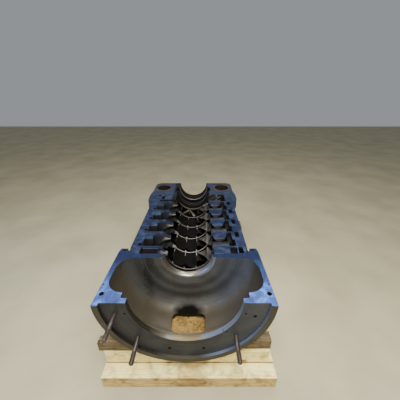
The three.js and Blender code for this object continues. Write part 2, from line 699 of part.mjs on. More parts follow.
// Rear housing with the two round pockets
const mirroredSection = HOUSING_SECTION.map(([x, z]) => [-x, z]).reverse();
const housingSection = [...HOUSING_SECTION, [0, -HOUSING_DEPTH], ...mirroredSection];
const housingPlan = roundedPlan(HOUSING_HALF_WIDTH, HOUSING_FRONT - 300, REAR_FACE, HOUSING_CORNER, 5);
const housingBar = bar(housingSection.reverse(), HOUSING_FRONT, REAR_FACE);
let housing = housingBar.intersect(plate(housingPlan, -HOUSING_DEPTH - 50, 10));
housing = housing.subtract(level(HOUSING_RECESS_RADIUS, 0, 0, HOUSING_FRONT - 5, HOUSING_RECESS_BACK, 64));
housing = housing.subtract(level(BORE_RADIUS, 0, 0, HOUSING_FRONT - 5, REAR_FACE + 5, 64));
for (const [x, y, radius] of ROUND_POCKETS) {
  housing = housing.subtract(upright(radius, x, y, -ROUND_POCKET_DEPTH, 10, 40));
  housing = housing.subtract(upright(radius + SPOT_FACE, x, y, -SPOT_FACE_DEPTH, 10, 40));
}
addNode("rear_housing", "rusty_iron", housing);

// Studs standing out of the recessed ring face
studSeats.forEach(([x, z], i) => {
  const stud = level(STUD_RADIUS, x, z, FACE_SETBACK - STUD_LENGTH, LIP_BACK - 12, 24);
  addNode(`front_stud_${i + 1}`, "stud_steel", stud);
});

// Timbers: new floor beam and plank in front, weathered chocks wedged against the round shell
const FLOOR = -SPLIT_HEIGHT;
const BEAM_TOP = FLOOR + BEAM_HEIGHT;
const PLANK_TOP = -RIM_RADIUS - GAP;
const MIDDLE_BEAM_TOP = FLOOR + REAR_BEAM_HEIGHT + BEAM_HEIGHT;
const roundShell = level(RIM_RADIUS + GAP, 0, 0, 40, 200, ROUND_STEPS);
addNode("front_floor_beam", "new_pine", block(...FRONT_BEAM, FLOOR, BEAM_TOP));
addNode("front_plank", "new_pine", block(...FRONT_PLANK, BEAM_TOP + GAP, PLANK_TOP));
const leftChock = block(...LEFT_CHOCK, PLANK_TOP + GAP, CHOCK_TOP).subtract(roundShell);
addNode("chock_left", "old_wood", leftChock);
const rightChock = block(...RIGHT_CHOCK, PLANK_TOP + GAP, CHOCK_TOP).subtract(roundShell);
addNode("chock_right", "old_wood", rightChock);
addNode("second_floor_beam", "old_wood", block(...SECOND_BEAM, FLOOR, BEAM_TOP));
addNode("second_plank", "old_wood", block(...SECOND_PLANK, BEAM_TOP + GAP, PLANK_TOP));
addNode("rear_floor_beam", "old_wood", block(...REAR_BEAM, FLOOR, FLOOR + REAR_BEAM_HEIGHT));
const middleBeam = block(...REAR_MIDDLE_BEAM, FLOOR + REAR_BEAM_HEIGHT + GAP, MIDDLE_BEAM_TOP);
addNode("rear_middle_beam", "old_wood", middleBeam);
addNode("rear_top_beam", "new_pine", block(...REAR_TOP_BEAM, MIDDLE_BEAM_TOP + GAP, -HOUSING_DEPTH - GAP));

export default casing;
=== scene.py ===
"""Dresses the lower half of a split multistage turbine casing, open and resting on timbers.

Sizes are millimetres: x across the axis, y back from the front rim, z above the split face.
"""

import logging
import math
import random
from dataclasses import dataclass, field
from enum import Enum
from typing import Any, Callable, Iterable, Sequence

import bmesh
import bpy
from mathutils import Matrix, Vector


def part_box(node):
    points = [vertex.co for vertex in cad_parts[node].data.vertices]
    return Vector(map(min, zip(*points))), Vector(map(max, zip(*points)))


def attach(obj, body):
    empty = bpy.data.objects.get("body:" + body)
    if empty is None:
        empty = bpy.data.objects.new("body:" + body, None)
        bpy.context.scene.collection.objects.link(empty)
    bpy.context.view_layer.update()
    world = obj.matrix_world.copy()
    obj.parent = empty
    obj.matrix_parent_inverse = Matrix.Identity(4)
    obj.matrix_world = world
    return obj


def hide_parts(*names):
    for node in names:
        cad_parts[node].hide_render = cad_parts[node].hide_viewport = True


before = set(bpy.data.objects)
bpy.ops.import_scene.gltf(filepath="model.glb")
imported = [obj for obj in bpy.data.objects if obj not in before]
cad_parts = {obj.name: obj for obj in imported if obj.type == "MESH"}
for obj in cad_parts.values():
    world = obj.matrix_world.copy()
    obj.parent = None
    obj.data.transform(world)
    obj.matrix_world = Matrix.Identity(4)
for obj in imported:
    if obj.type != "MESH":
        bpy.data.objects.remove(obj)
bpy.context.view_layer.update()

Point2 = tuple[float, float]
Span = tuple[float, float]
Row = Sequence[float]
Limits = tuple[float, float, float, float, float, float]  # low and high x, y and z of a block
Shape = bmesh.types.BMesh
Piece = bpy.types.Object
Socket = bpy.types.NodeSocket

MM = 0.001  # metres in a millimetre
JOINT = 0.3  # clearance between neighbouring pieces of the frame

log = logging.getLogger("casing")


# The frame's datums


@dataclass(frozen=True)
class Datum:
    """Where the machine axis, the front rim and the split face lie in the frame."""

    rim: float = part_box("front_ring_flange")[0].y
    split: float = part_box("front_split_flange_left")[1].z

    def at(self, x: float, y: float, z: float) -> Vector:
        """Turns millimetres from the axis, the rim and the split face into a frame point in metres."""
        return Vector((x / 1000.0, self.rim + y / 1000.0, self.split + z / 1000.0))

    def on_ring(self, radius: float, degrees: float, y: float, top: float = math.inf) -> Vector:
        """Turns a place on a ring about the axis into a frame point that lies no higher than a top."""
        x, z = around(radius, degrees)
        return self.at(x, y, min(z, top))


def around(radius: float, degrees: float) -> Point2:
    """X and Z of a point on a ring, its angle counted from the bottom, plus to the right."""
    turn = math.radians(degrees)
    return radius * math.sin(turn), -radius * math.cos(turn)


DATUM = Datum()


# Shaders

MIX_FACTOR, MIX_A, MIX_B, MIX_OUT = 0, 6, 7, 2  # the colour mixer's sockets
MIDDLE: Span = (0.3, 0.7)  # where most of a noise pattern's values lie
CREST: Span = (0.5, 0.75)  # its upper part, for specks and marks


def linear(hex_code: str) -> tuple[float, float, float, float]:
    """Turns an sRGB hex colour into a linear colour.

    Args:
        hex_code: the colour as it would be picked on a screen.

    Returns:
        Red, green, blue and a full alpha.
    """
    parts = [int(hex_code[i:i + 2], 16) / 255.0 for i in (1, 3, 5)]
    values = [c / 12.92 if c <= 0.04045 else ((c + 0.055) / 1.055) ** 2.4 for c in parts]
    return values[0], values[1], values[2], 1.0


def set_stops(ramp: bpy.types.ColorRamp, stops: Sequence[tuple[float, str]]) -> None:
    """Replaces a colour ramp's stops.

    Args:
        ramp: the ramp to change.
        stops: positions from 0 to 1 with their hex colours.
    """
    while len(ramp.elements) > 1:
        ramp.elements.remove(ramp.elements[-1])
    ramp.elements[0].position = stops[0][0]
    ramp.elements[0].color = linear(stops[0][1])
    for position, colour in stops[1:]:
        ramp.elements.new(position).color = linear(colour)


def ranged(factor: Socket, reach: Span, values: Span = (0.0, 1.0)) -> dict[str | int, Any]:
    """Settings that turn one span of a factor into a span of values."""
    limits = zip(("From Min", "From Max", "To Min", "To Max"), (*reach, *values))
    return {"Value": factor, **dict(limits)}


def toned(factor: Socket, *stops: tuple[float, str]) -> dict[str | int, Any]:
    """Settings that give a factor a colour from stops."""
    return {"Fac": factor, "stops": stops}


def mixed(factor: Socket, under: Socket, over: str) -> dict[str | int, Any]:
    """Settings that mix a hex colour over another colour."""
    return {"data_type": "RGBA", MIX_FACTOR: factor, MIX_A: under, MIX_B: over}


@dataclass(frozen=True)
class Noise:
    """A pattern of soft blotches in real millimetres."""

    size_mm: float
    detail: float = 4.0
    stretch: Row = (1.0, 1.0, 1.0)  # under 1 draws the blotches out along X, Y or Z
    swirl: float = 0.0


class Paint:
    """A material in the making: its node tree, main shader and object coordinates."""

    def __init__(self, name: str, roughness: float, metallic: float, gloss: float) -> None:
        """Starts a material.

        Args:
            name: the real material's name.
            roughness: how far it scatters light.
            metallic: share of bare metal.
            gloss: strength of its reflections.
        """
        self.material = bpy.data.materials.new(name)
        self.material.use_nodes = True
        self.tree = self.material.node_tree
        self.shader = self.tree.nodes["Principled BSDF"]
        self.shader.inputs["Roughness"].default_value = roughness
        self.shader.inputs["Metallic"].default_value = metallic
        self.shader.inputs["Specular IOR Level"].default_value = gloss
        self.place = self.add("TexCoord", "Object", {})

    def add(self, kind: str, output: str | int, settings: dict[str | int, Any]) -> Socket:
        """Adds one shader node with its settings and links.

        Args:
            kind: the node's type name after ShaderNode.
            output: the output wanted, by name or number.
            settings: properties, input values, hex colours, colour stops or sockets to link, by name
                or input number.

        Returns:
            The output's socket.
        """
        node = self.tree.nodes.new("ShaderNode" + kind)
        for key, value in settings.items():
            if isinstance(value, bpy.types.NodeSocket):
                self.tree.links.new(value, node.inputs[key])
            elif key == "stops":
                set_stops(node.color_ramp, value)
            elif isinstance(key, str) and hasattr(node, key):
                setattr(node, key, value)
            else:
                node.inputs[key].default_value = linear(value) if isinstance(value, str) else value
        return node.outputs[output]

    def pattern(self, noise: Noise, at: Socket | None = None) -> Socket:
        """Lays out a noise pattern.

        Args:
            noise: the pattern.
            at: the place it is laid out by, the object's own unless given.

        Returns:
            The pattern's factor.
        """
        moved = self.add("Mapping", "Vector",
                         {"Scale": tuple(noise.stretch), "Vector": self.place if at is None else at})
        return self.add("TexNoise", "Fac", {"Scale": 1.0 / (noise.size_mm * MM), "Detail": noise.detail,
                                            "Distortion": noise.swirl, "Vector": moved})

    def over(self, under: Socket, colour: str, factor: Socket, reach: Span, share: float) -> Socket:
        """Lays a colour over another, from none to a share of it as a factor goes through its reach."""
        amount = self.add("MapRange", "Result", ranged(factor, reach, (0.0, share)))
        return self.add("Mix", MIX_OUT, mixed(amount, under, colour))

    def drive(self, label: str, factor: Socket, reach: Span, values: Span) -> None:
        """Drives an input of the main shader between two values, as a factor goes through its reach."""
        self.tree.links.new(self.add("MapRange", "Result", ranged(factor, reach, values)),
                            self.shader.inputs[label])

    def uneven(self, value: Socket, noise: Noise, reach: float) -> Socket:
        """Lets a value wander with noise by up to a reach either way."""
        wander = self.add("MapRange", "Result", ranged(self.pattern(noise), MIDDLE, (-reach, reach)))
        return self.add("Math", "Value", {"operation": "ADD", 0: value, 1: wander})

    def around_axis(self) -> tuple[Socket, Socket]:
        """Measures from the machine axis, for lathe marks.

        Returns:
            The distance from the axis and the place along it.
        """
        offset = self.add("VectorMath", "Vector",
                          {"operation": "SUBTRACT", 0: self.place, 1: (0, 0, DATUM.split)})
        x, y, z = (self.add("SeparateXYZ", axis, {"Vector": offset}) for axis in "XYZ")
        flat = self.add("CombineXYZ", "Vector", {"X": x, "Z": z})
        return self.add("VectorMath", "Value", {"operation": "LENGTH", 0: flat}), y

    def finish(self, colour: Socket, height: Socket | None = None, relief: Point2 = (0.0, 0.0),
               shifts: Sequence["Shift"] = ()) -> None:
        """Feeds the colour and the fine relief to the main shader.

        Args:
            colour: the colour.
            height: the pattern of the relief, if there is one.
            relief: how deep it is in millimetres and how strongly it shows.
            shifts: slow changes of the colour.
        """
        for shift in shifts:
            colour = shift.lay(self, colour)
        self.tree.links.new(colour, self.shader.inputs["Base Color"])
        if height is not None:
            settings = {"Strength": relief[1], "Distance": relief[0] * MM, "Height": height}
            self.tree.links.new(self.add("Bump", "Normal", settings), self.shader.inputs["Normal"])


@dataclass(frozen=True)
class Shift:
    """A slow change of colour: X runs across the casing, Y back along its axis from the rim."""

    to: str
    axis: str
    start_mm: float
    end_mm: float
    share: float
    fall: Row = ()  # where the change fades out again, if it does
    uneven_mm: float = 0.0
    edge: Noise = Noise(55.0, 5.0, swirl=0.6)

    def lay(self, paint: Paint, colour: Socket) -> Socket:
        """Turns a colour to another one along X or Y.

        Args:
            paint: the material in the making.
            colour: the colour to start from.

        Returns:
            The mixed colour.
        """
        at = paint.add("SeparateXYZ", self.axis, {"Vector": paint.place})
        if self.uneven_mm:
            at = paint.uneven(at, self.edge, self.uneven_mm * MM)
        origin = DATUM.rim if self.axis == "Y" else 0.0
        reach = (origin + self.start_mm * MM, origin + self.end_mm * MM)
        share = paint.add("MapRange", "Result", ranged(at, reach, (0.0, self.share)))
        if self.fall:
            reach = (origin + self.fall[0] * MM, origin + self.fall[1] * MM)
            left = paint.add("MapRange", "Result", ranged(at, reach, (1.0, 0.0)))
            share = paint.add("Math", "Value", {"operation": "MULTIPLY", 0: share, 1: left})
        return paint.add("Mix", MIX_OUT, mixed(share, colour, self.to))


@dataclass(frozen=True)
class Finish:
    """A named finish. Each kind has its own roughness, metallic and gloss."""

    name: str

    def material(self) -> bpy.types.Material:
        """Starts a material and lays the finish on it.

        Returns:
            The material.
        """
        paint = Paint(self.name, self.roughness, self.metallic, self.gloss)
        self.lay(paint)
        return paint.material


@dataclass(frozen=True)
class TurnedIron(Finish):
    """Iron faced or bored on a lathe: bright, with fine rings and a thin film of oil."""

    light: str
    dark: str
    film: str
    spacing_mm: float = 2.2  # real feed is about 0.3 mm, drawn coarser so that it shows
    roughness: float = 0.4
    metallic: float = 0.75
    film_share: float = 0.5
    gloss: float = 0.5
    shifts: Sequence[Shift] = ()
    broader: float = 9.0  # spacing of the broad rings, in fine ones
    blotches: Noise = Noise(120.0, 5.0, swirl=0.6)
    tones: Span = (0.36, 0.62)  # of the rings, where they are dark and where they are light
    film_reach: Span = (0.42, 0.68)
    duller: Span = (-0.08, 0.14)  # what the film does to the roughness
    relief: Point2 = (0.12, 0.35)  # depth in millimetres, strength

    def lay(self, paint: Paint) -> None:
        """Lathe rings by distance from the axis, blotched by an oil film.

        Args:
            paint: the material in the making.
        """
        radius, back = paint.around_axis()
        rings_at = paint.add("CombineXYZ", "Vector", {"X": radius, "Y": back})
        fine = paint.pattern(Noise(self.spacing_mm, 3.0), rings_at)
        broad = paint.pattern(Noise(self.spacing_mm * self.broader, 2.0), rings_at)
        both = paint.add("Math", "Value", {"operation": "ADD", 0: fine, 1: broad})
        rings = paint.add("Math", "Value", {"operation": "MULTIPLY", 0: both, 1: 0.5})
        blotch = paint.pattern(self.blotches)
        stops = zip(self.tones, (self.dark, self.light))
        colour = paint.add("ValToRGB", "Color", toned(rings, *stops))
        colour = paint.over(colour, self.film, blotch, self.film_reach, self.film_share)
        paint.drive("Roughness", blotch, MIDDLE, tuple(self.roughness + more for more in self.duller))
        paint.finish(colour, rings, self.relief, self.shifts)


@dataclass(frozen=True)
class SootedAndShadedChamber(TurnedIron):
    """Turned chamber iron with a dark halo behind the floor port: old oil and soot with painted shade."""

    soot_and_shade: str = "#0c0a07"
    halo_at: Row = (-3.0, 312.0, -462.0)
    halo_mm: Row = (116.0, 78.0, 86.0)
    halo_fade: Span = (1.15, 0.55)  # shares of its size where it starts and where it is full
    halo_share: float = 0.97
    sooty_roughness: float = 0.95
    edge: Noise = Noise(60.0, 4.0, swirl=0.3)
    edge_share: float = 0.1

    def lay(self, paint: Paint) -> None:
        """The lathe-turned look with the halo of stain and painted shade laid over it where the floor rises
        behind the port.

        Args:
            paint: the material in the making.
        """
        super().lay(paint)
        offset = paint.add("VectorMath", "Vector",
                           {"operation": "SUBTRACT", 0: paint.place, 1: tuple(DATUM.at(*self.halo_at))})
        shape = tuple(1.0 / (size * MM) for size in self.halo_mm)
        scaled = paint.add("VectorMath", "Vector", {"operation": "MULTIPLY", 0: offset, 1: shape})
        reach = paint.add("VectorMath", "Value", {"operation": "LENGTH", 0: scaled})
        edge = paint.uneven(reach, self.edge, self.edge_share)
        share = paint.add("MapRange", "Result", ranged(edge, self.halo_fade, (0.0, self.halo_share)))
        paint.drive("Specular IOR Level", share, (0.0, 1.0), (self.gloss, 0.0))
        paint.drive("Roughness", share, (0.0, 1.0), (self.roughness, self.sooty_roughness))
        paint.drive("Metallic", share, (0.0, 1.0), (self.metallic, 0.0))
        # lays the dark halo, soot with painted shade, over the turned colour
        under = paint.shader.inputs["Base Color"].links[0].from_socket
        haloed = paint.add("Mix", MIX_OUT, mixed(share, under, self.soot_and_shade))
        paint.tree.links.new(haloed, paint.shader.inputs["Base Color"])


@dataclass(frozen=True)
class CastIron(Finish):
    """Sand-cast grey iron: dull and grainy, with soot and light rust."""

    light: str
    dark: str
    rust: str
    rust_share: float = 0.25
    grain_mm: float = 3.5  # sand grain is under 1 mm, drawn coarser so that it shows
    roughness: float = 0.65
    metallic: float = 0.2
    gloss: float = 0.15
    blotches: Noise = Noise(90.0, 6.0, swirl=0.4)
    spots: Noise = Noise(38.0, 5.0, swirl=1.0)
    tones: Span = (0.33, 0.66)  # of the blotches, where they are dark and where they are light
    rust_reach: Span = (0.45, 0.7)
    duller: Span = (-0.1, 0.15)  # what the rust does to the roughness
    relief: Point2 = (0.8, 0.5)  # depth in millimetres, strength

    def lay(self, paint: Paint) -> None:
        """Blotches of soot and rust over a sandy grain.

        Args:
            paint: the material in the making.
        """
        blotch, spots = paint.pattern(self.blotches), paint.pattern(self.spots)
        grain = paint.pattern(Noise(self.grain_mm, 3.0))
        stops = zip(self.tones, (self.dark, self.light))
        colour = paint.add("ValToRGB", "Color", toned(blotch, *stops))
        colour = paint.over(colour, self.rust, spots, self.rust_reach, self.rust_share)
        colour = paint.over(colour, self.dark, grain, CREST, 0.35)
        paint.drive("Roughness", spots, MIDDLE, tuple(self.roughness + more for more in self.duller))
        paint.finish(colour, grain, self.relief)


@dataclass(frozen=True)
class WornAndShadedPassage(Finish):
    """Cast passage iron: rubbed metal in painted light near the bore, soot in painted shade outwards, with
    paste on the wall tops.
    """

    rubbed_and_lit: str
    cast: str
    soot_and_shade: str
    rubbed_and_lit_mm: float = 170.0
    soot_and_shade_mm: float = 290.0
    paste: str = "#3a4a68"
    paste_share: float = 0.0
    paste_band: Row = (0.0, 0.08, 0.3, 0.36)  # shares of the wall spacing: rise and fall
    mottle_mm: float = 18.0
    first_mm: float = 455.0
    pitch_mm: float = 195.0
    roughness: float = 0.62
    metallic: float = 0.15
    gloss: float = 0.2
    paste_depth: Span = (-40.0, -8.0)  # heights where the paste starts and where it is full
    blotches: Noise = Noise(34.0, 5.0, swirl=0.5)
    grain: Noise = Noise(3.5, 3.0)  # sand grain is under 1 mm, drawn coarser so that it shows
    cast_at: float = 0.45  # share of the way out where it has its own tone
    relief: Point2 = (0.7, 0.5)  # depth in millimetres, strength

    def lay(self, paint: Paint) -> None:
        """Tone by distance from the axis, for wear and soot with painted light and shade, broken up by noise;
        paste repeats with the walls.

        Args:
            paint: the material in the making.
        """
        radius, back = paint.around_axis()
        grain = paint.pattern(self.grain)
        uneven = paint.uneven(radius, self.blotches, self.mottle_mm * MM)
        # the tone runs from rubbed metal in painted light at the bore to soot in painted shade outwards
        share = paint.add("MapRange", "Result", ranged(uneven, (self.rubbed_and_lit_mm * MM, self.soot_and_shade_mm * MM)))
        stops = (0.0, self.rubbed_and_lit), (self.cast_at, self.cast), (1.0, self.soot_and_shade)
        colour = paint.add("ValToRGB", "Color", toned(share, *stops))
        if self.paste_share:
            colour = self.pasted(paint, colour, back)
        colour = paint.over(colour, self.soot_and_shade, grain, CREST, 0.4)
        paint.finish(colour, grain, self.relief)

    def pasted(self, paint: Paint, colour: Socket, back: Socket) -> Socket:
        """Drags marking paste over the top of each wall.

        Args:
            paint: the material in the making.
            colour: the colour underneath.
            back: the place along the axis.

        Returns:
            The mixed colour.
        """
        pitch = self.pitch_mm * MM
        start = (DATUM.rim + self.first_mm * MM) / pitch
        turns = paint.add("Math", "Value", {"operation": "MULTIPLY_ADD", 0: back, 1: 1 / pitch, 2: -start})
        phase = paint.add("Math", "Value", {"operation": "FRACT", 0: turns})
        height = paint.add("SeparateXYZ", "Z", {"Vector": paint.place})
        tops = (DATUM.split + self.paste_depth[0] * MM, DATUM.split + self.paste_depth[1] * MM)
        share = paint.add("MapRange", "Result", ranged(phase, self.paste_band[:2], (0.0, self.paste_share)))
        for factor, reach, values in ((phase, self.paste_band[2:], (1.0, 0.0)), (height, tops, (0.0, 1.0))):
            limit = paint.add("MapRange", "Result", ranged(factor, reach, values))
            share = paint.add("Math", "Value", {"operation": "MULTIPLY", 0: share, 1: limit})
        return paint.add("Mix", MIX_OUT, mixed(share, colour, self.paste))


@dataclass(frozen=True)
class MarkedSplitFace(Finish):
    """Planed iron rubbed with blue marking paste: a satin blue-grey film, worn thin in patches."""

    film: str
    bare: str
    deep: str
    roughness: float = 0.42
    metallic: float = 0.3
    gloss: float = 0.5
    shifts: Sequence[Shift] = ()
    dull_mm: Row = ()  # where the film loses its gloss going back
    dull_gloss: float = 0.06
    dull_metallic: float = 0.03
    wear: Noise = Noise(70.0, 6.0, swirl=0.8)
    lines: Noise = Noise(5.0, 3.0, (1.0, 0.06, 1.0))  # planing marks, drawn coarser so that they show
    scratches: Noise = Noise(9.0, 2.0, (0.15, 1.0, 1.0), 0.3)
    scratch_reach: Span = (0.6, 0.75)
    tones: Row = (0.32, 0.5, 0.7)  # of the wear: thick film, common film, bare iron
    duller: Span = (0.1, -0.1)  # what the wear does to the roughness
    relief: Point2 = (0.08, 0.3)  # depth in millimetres, strength

    def lay(self, paint: Paint) -> None:
        """A worn film over planing lines that run along the casing.

        Args:
            paint: the material in the making.
        """
        wear, lines, scratch = (paint.pattern(noise) for noise in (self.wear, self.lines, self.scratches))
        stops = zip(self.tones, (self.deep, self.film, self.bare))
        colour = paint.add("ValToRGB", "Color", toned(wear, *stops))
        colour = paint.over(colour, self.bare, lines, CREST, 0.3)
        colour = paint.over(colour, self.deep, scratch, self.scratch_reach, 0.25)
        if self.dull_mm:
            back = paint.add("SeparateXYZ", "Y", {"Vector": paint.place})
            reach = (DATUM.rim + self.dull_mm[0] * MM, DATUM.rim + self.dull_mm[1] * MM)
            paint.drive("Specular IOR Level", back, reach, (self.gloss, self.dull_gloss))
            paint.drive("Metallic", back, reach, (self.metallic, self.dull_metallic))
        paint.drive("Roughness", wear, MIDDLE, tuple(self.roughness + more for more in self.duller))
        paint.finish(colour, lines, self.relief, self.shifts)


@dataclass(frozen=True)
class SawnTimber(Finish):
    """Sawn softwood: grain along X, knots and ground-in workshop dirt."""

    light: str
    grain: str
    knot: str
    dirt: str
    dirt_share: float = 0.3
    grain_mm: float = 7.0
    roughness: float = 0.78
    along: float = 0.035  # grain is drawn out along X by this share
    swirl: float = 0.4
    shifts: Sequence[Shift] = ()
    metallic: float = 0.0
    gloss: float = 0.15
    sway: Noise = Noise(260.0, 2.0)
    sway_share: float = 0.03
    fibres: Noise = Noise(2.0, 2.0, (0.04, 1.0, 1.0))
    smears: Noise = Noise(85.0, 6.0, swirl=1.2)
    knots_per_metre: float = 7.0
    knot_stretch: Row = (0.55, 1.0, 1.0)
    knot_reach: Span = (0.13, 0.05)  # shares of a knot's cell where it starts and where it is full
    tones: Span = (0.3, 0.52)  # of the grain, where it is dark and where it is light
    fibre_reach: Span = (0.5, 0.8)
    dirt_reach: Span = (0.48, 0.72)
    relief: Point2 = (0.8, 0.5)  # depth in millimetres, strength
    swirl_relief: float = 1.5  # how much deeper a swirling grain is

    def lay(self, paint: Paint) -> None:
        """Stretched grain bent by knots, with dirt rubbed over it.

        Args:
            paint: the material in the making.
        """
        bent = paint.add("VectorMath", "Vector",
                         {"operation": "SCALE", 0: paint.pattern(self.sway), "Scale": self.sway_share})
        moved = paint.add("VectorMath", "Vector", {"operation": "ADD", 0: paint.place, 1: bent})
        years = paint.pattern(Noise(self.grain_mm, 3.0, (self.along, 1.0, 1.0), self.swirl), moved)
        cells_at = paint.add("Mapping", "Vector", {"Scale": self.knot_stretch, "Vector": paint.place})
        cells = paint.add("TexVoronoi", "Distance",
                          {"Scale": self.knots_per_metre, "Randomness": 1.0, "Vector": cells_at})
        stops = zip(self.tones, (self.grain, self.light))
        colour = paint.add("ValToRGB", "Color", toned(years, *stops))
        colour = paint.over(colour, self.knot, cells, self.knot_reach, 0.9)
        colour = paint.over(colour, self.grain, paint.pattern(self.fibres), self.fibre_reach, 0.35)
        colour = paint.over(colour, self.dirt, paint.pattern(self.smears), self.dirt_reach, self.dirt_share)
        depth, strength = self.relief
        paint.finish(colour, years, (depth + self.swirl * self.swirl_relief, strength), self.shifts)


@dataclass(frozen=True)
class TwoToned(Finish):
    """Two close tones in soft streaks or clouds, and nothing else."""

    light: str
    dark: str
    streaks: Noise
    roughness: float
    metallic: float
    gloss: float = 0.5
    tones: Span = (0.35, 0.65)  # of the pattern, where it is dark and where it is light

    def lay(self, paint: Paint) -> None:
        """One pattern between the two tones."""
        tones = toned(paint.pattern(self.streaks), *zip(self.tones, (self.dark, self.light)))
        paint.finish(paint.add("ValToRGB", "Color", tones))


class Look(Enum):
    """The finishes on this object, each with what it gives the eye."""

    # satin blue film that catches the daylight in front, with painted shade that turns it near black towards
    # the stages
    SPLIT_FACE = MarkedSplitFace("planed_split_face", "#24407c", "#4676bc", "#1b2c5c", 0.4, 0.25, 0.35,
                                 (Shift("#141a2e", "Y", 70.0, 370.0, 0.92),), (90.0, 390.0))
    # the same film painted darker as shade, greyer at the far end and dark beside the bore
    STAGE_FACE = MarkedSplitFace("planed_stage_face", "#161f36", "#283550", "#0e1526", 0.6, 0.05, 0.12,
                                 (Shift("#3a4150", "Y", 1150.0, 1650.0, 0.5),
                                  Shift("#090c14", "X", -232.0, -216.0, 0.8, (172.0, 188.0))))
    # soft grey sheen with faint rings, a painted bluish sheen on the right, dark and brown on the left
    CHAMBER = SootedAndShadedChamber("turned_chamber_iron", "#585854", "#434340", "#36322a", 5.0, 0.52, 0.3, 0.55,
                            0.35, (Shift("#434d62", "X", 140.0, 340.0, 0.5),
                                   Shift("#2a2b2a", "X", -120.0, -260.0, 0.5),
                                   Shift("#1e1c18", "X", -250.0, -275.0, 0.55, (-300.0, -320.0), 30.0),
                                   Shift("#463e2e", "Y", 372.0, 318.0, 0.75, (), 24.0)))
    # bored bands with a painted pale blue sheen on the right and painted shade on the left
    BRIGHT = TurnedIron("bright_bored_ring", "#676254", "#4a473c", "#524936", 1.6, 0.32, 0.75, 0.4, 0.5,
                        (Shift("#8c9cbc", "X", 80.0, 200.0, 0.85),
                         Shift("#38362c", "X", -120.0, -230.0, 0.8)))
    # the brightest metal in view, a rounded lip, with a painted bluish sheen on the right and painted shade
    # on the left
    LIP = TurnedIron("bright_bore_lip", "#8c8a80", "#66645c", "#5e543e", 1.6, 0.34, 0.85, 0.35, 0.5,
                     (Shift("#9aa4be", "X", 50.0, 140.0, 0.7), Shift("#5c5648", "X", -60.0, -150.0, 0.5)))
    # dull dark ring under the rim, a little lighter on the right
    RING_FACE = TurnedIron("dull_ring_face", "#34373a", "#26282b", "#2b2a26", 3.0, 0.5, 0.4, 0.4,
                           shifts=(Shift("#474b50", "X", 120.0, 420.0, 0.6),))
    # a rim just light enough to part from the face inside it
    RIM = TurnedIron("ring_rim", "#48443b", "#322f29", "#3e352b", 2.6, 0.42, 0.55, 0.4)
    # flat brown-grey iron for all that was never machined
    CASTING = CastIron("sand_cast_iron", "#5a574f", "#3a3833", "#5a4330")
    # deep brown-black, soot with painted shade, that keeps the passages dark
    PASSAGE = CastIron("sooty_shaded_passage", "#241f1a", "#120f0d", "#2a1d14", 0.35, 4.0, 0.75, 0.1)
    # rubbed tips painted light at the bore that fall into painted shade outwards, with paste on their tops
    WING = WornAndShadedPassage("rubbed_and_shaded_wing", "#5a564c", "#17171b", "#0c0c10", 170.0, 262.0, "#141c30", 0.5,
                       gloss=0.1)
    # rounded backs painted near black outwards as shade, lighter at the bore, that show only where light
    # skims them
    HUMP = WornAndShadedPassage("cast_vane_back", "#33322e", "#0f1114", "#08090b", 150.0, 215.0, mottle_mm=8.0,
                       gloss=0.06)
    # grey blades with frayed, lighter edges at the bore
    GUIDE = WornAndShadedPassage("worn_guide_vane", "#4c4a47", "#2c2a28", "#1d1c1a", 160.0, 196.0, mottle_mm=16.0)
    # thin warm lines crossing the last gap
    CHEVRON = WornAndShadedPassage("worn_chevron_blade", "#5e5a50", "#48443a", "#2e2b22", 160.0, 215.0, mottle_mm=16.0)
    # one pale curved edge far back on the right
    LAST_BLADE = WornAndShadedPassage("bright_last_blade", "#c4beb2", "#a29a8c", "#6e695f", 150.0, 460.0)
    # violet-grey cut sides under the flat lands
    LENS = WornAndShadedPassage("dark_lens_side", "#46444e", "#363440", "#24222a", 170.0, 330.0)
    # worn slopes with a blue smear behind each wall
    RAMP = WornAndShadedPassage("worn_ramp", "#2c2a2c", "#242326", "#1a191b", 175.0, 340.0, "#263440", 0.8,
                       (0.2, 0.26, 0.44, 0.5))
    # brown hollows painted near black as shade
    RECESS = CastIron("brown_recess", "#100e0d", "#080707", "#140f0c", 0.4, 4.0, 0.8, 0.0)
    # nearly black plates painted dark as the shade between the walls, green-grey on the left and violet-grey
    # in the middle, and their dull ribs, darkened as shade too
    LINER_LEFT = CastIron("green_grey_liner", "#0c0c0a", "#070706", "#0a0907", 0.2, 8.0, 0.8, 0.0, 0.04)
    LINER_MIDDLE = CastIron("violet_grey_liner", "#0f0e11", "#09090a", "#0b090a", 0.2, 8.0, 0.8, 0.0, 0.04)
    LINER_RIB = CastIron("dull_liner_rib", "#191714", "#100e0c", "#14100c", 0.3, 4.0, 0.8, 0.0, 0.03)
    # rubbed arcs and vane tips that draw the bore, fading under painted shade as they go back
    VANE_EDGE = TurnedIron("rubbed_vane_edge", "#a09e98", "#74726c", "#5c5648", 2.0, 0.42, 0.4, 0.35, 0.5,
                           (Shift("#1c1a17", "Y", 640.0, 1500.0, 0.7),
                            Shift("#2e2c20", "Y", 380.0, 400.0, 0.75, (520.0, 600.0))))
    # hair-thin painted highlights on the turned steps of the chamber's rear wall
    STEP_EDGE = TurnedIron("step_edge_highlight", "#605f5b", "#474643", "#403e38", 1.6, 0.4, 0.5, 0.3)
    # blue paste dragged down the slopes beside the left flange
    PASTED_SLOPE = MarkedSplitFace("pasted_slope", "#182236", "#28364e", "#10161f", 0.6, 0.05, 0.12)
    # red-brown pits in the rear housing, and the worn grey iron round them
    RUSTY = CastIron("rusty_pocket", "#2a1c13", "#180f0a", "#341d12", 0.6, 4.0, 0.85, 0.0)
    HOUSING = CastIron("rear_housing_iron", "#484641", "#2f2d2a", "#443529", 0.3)
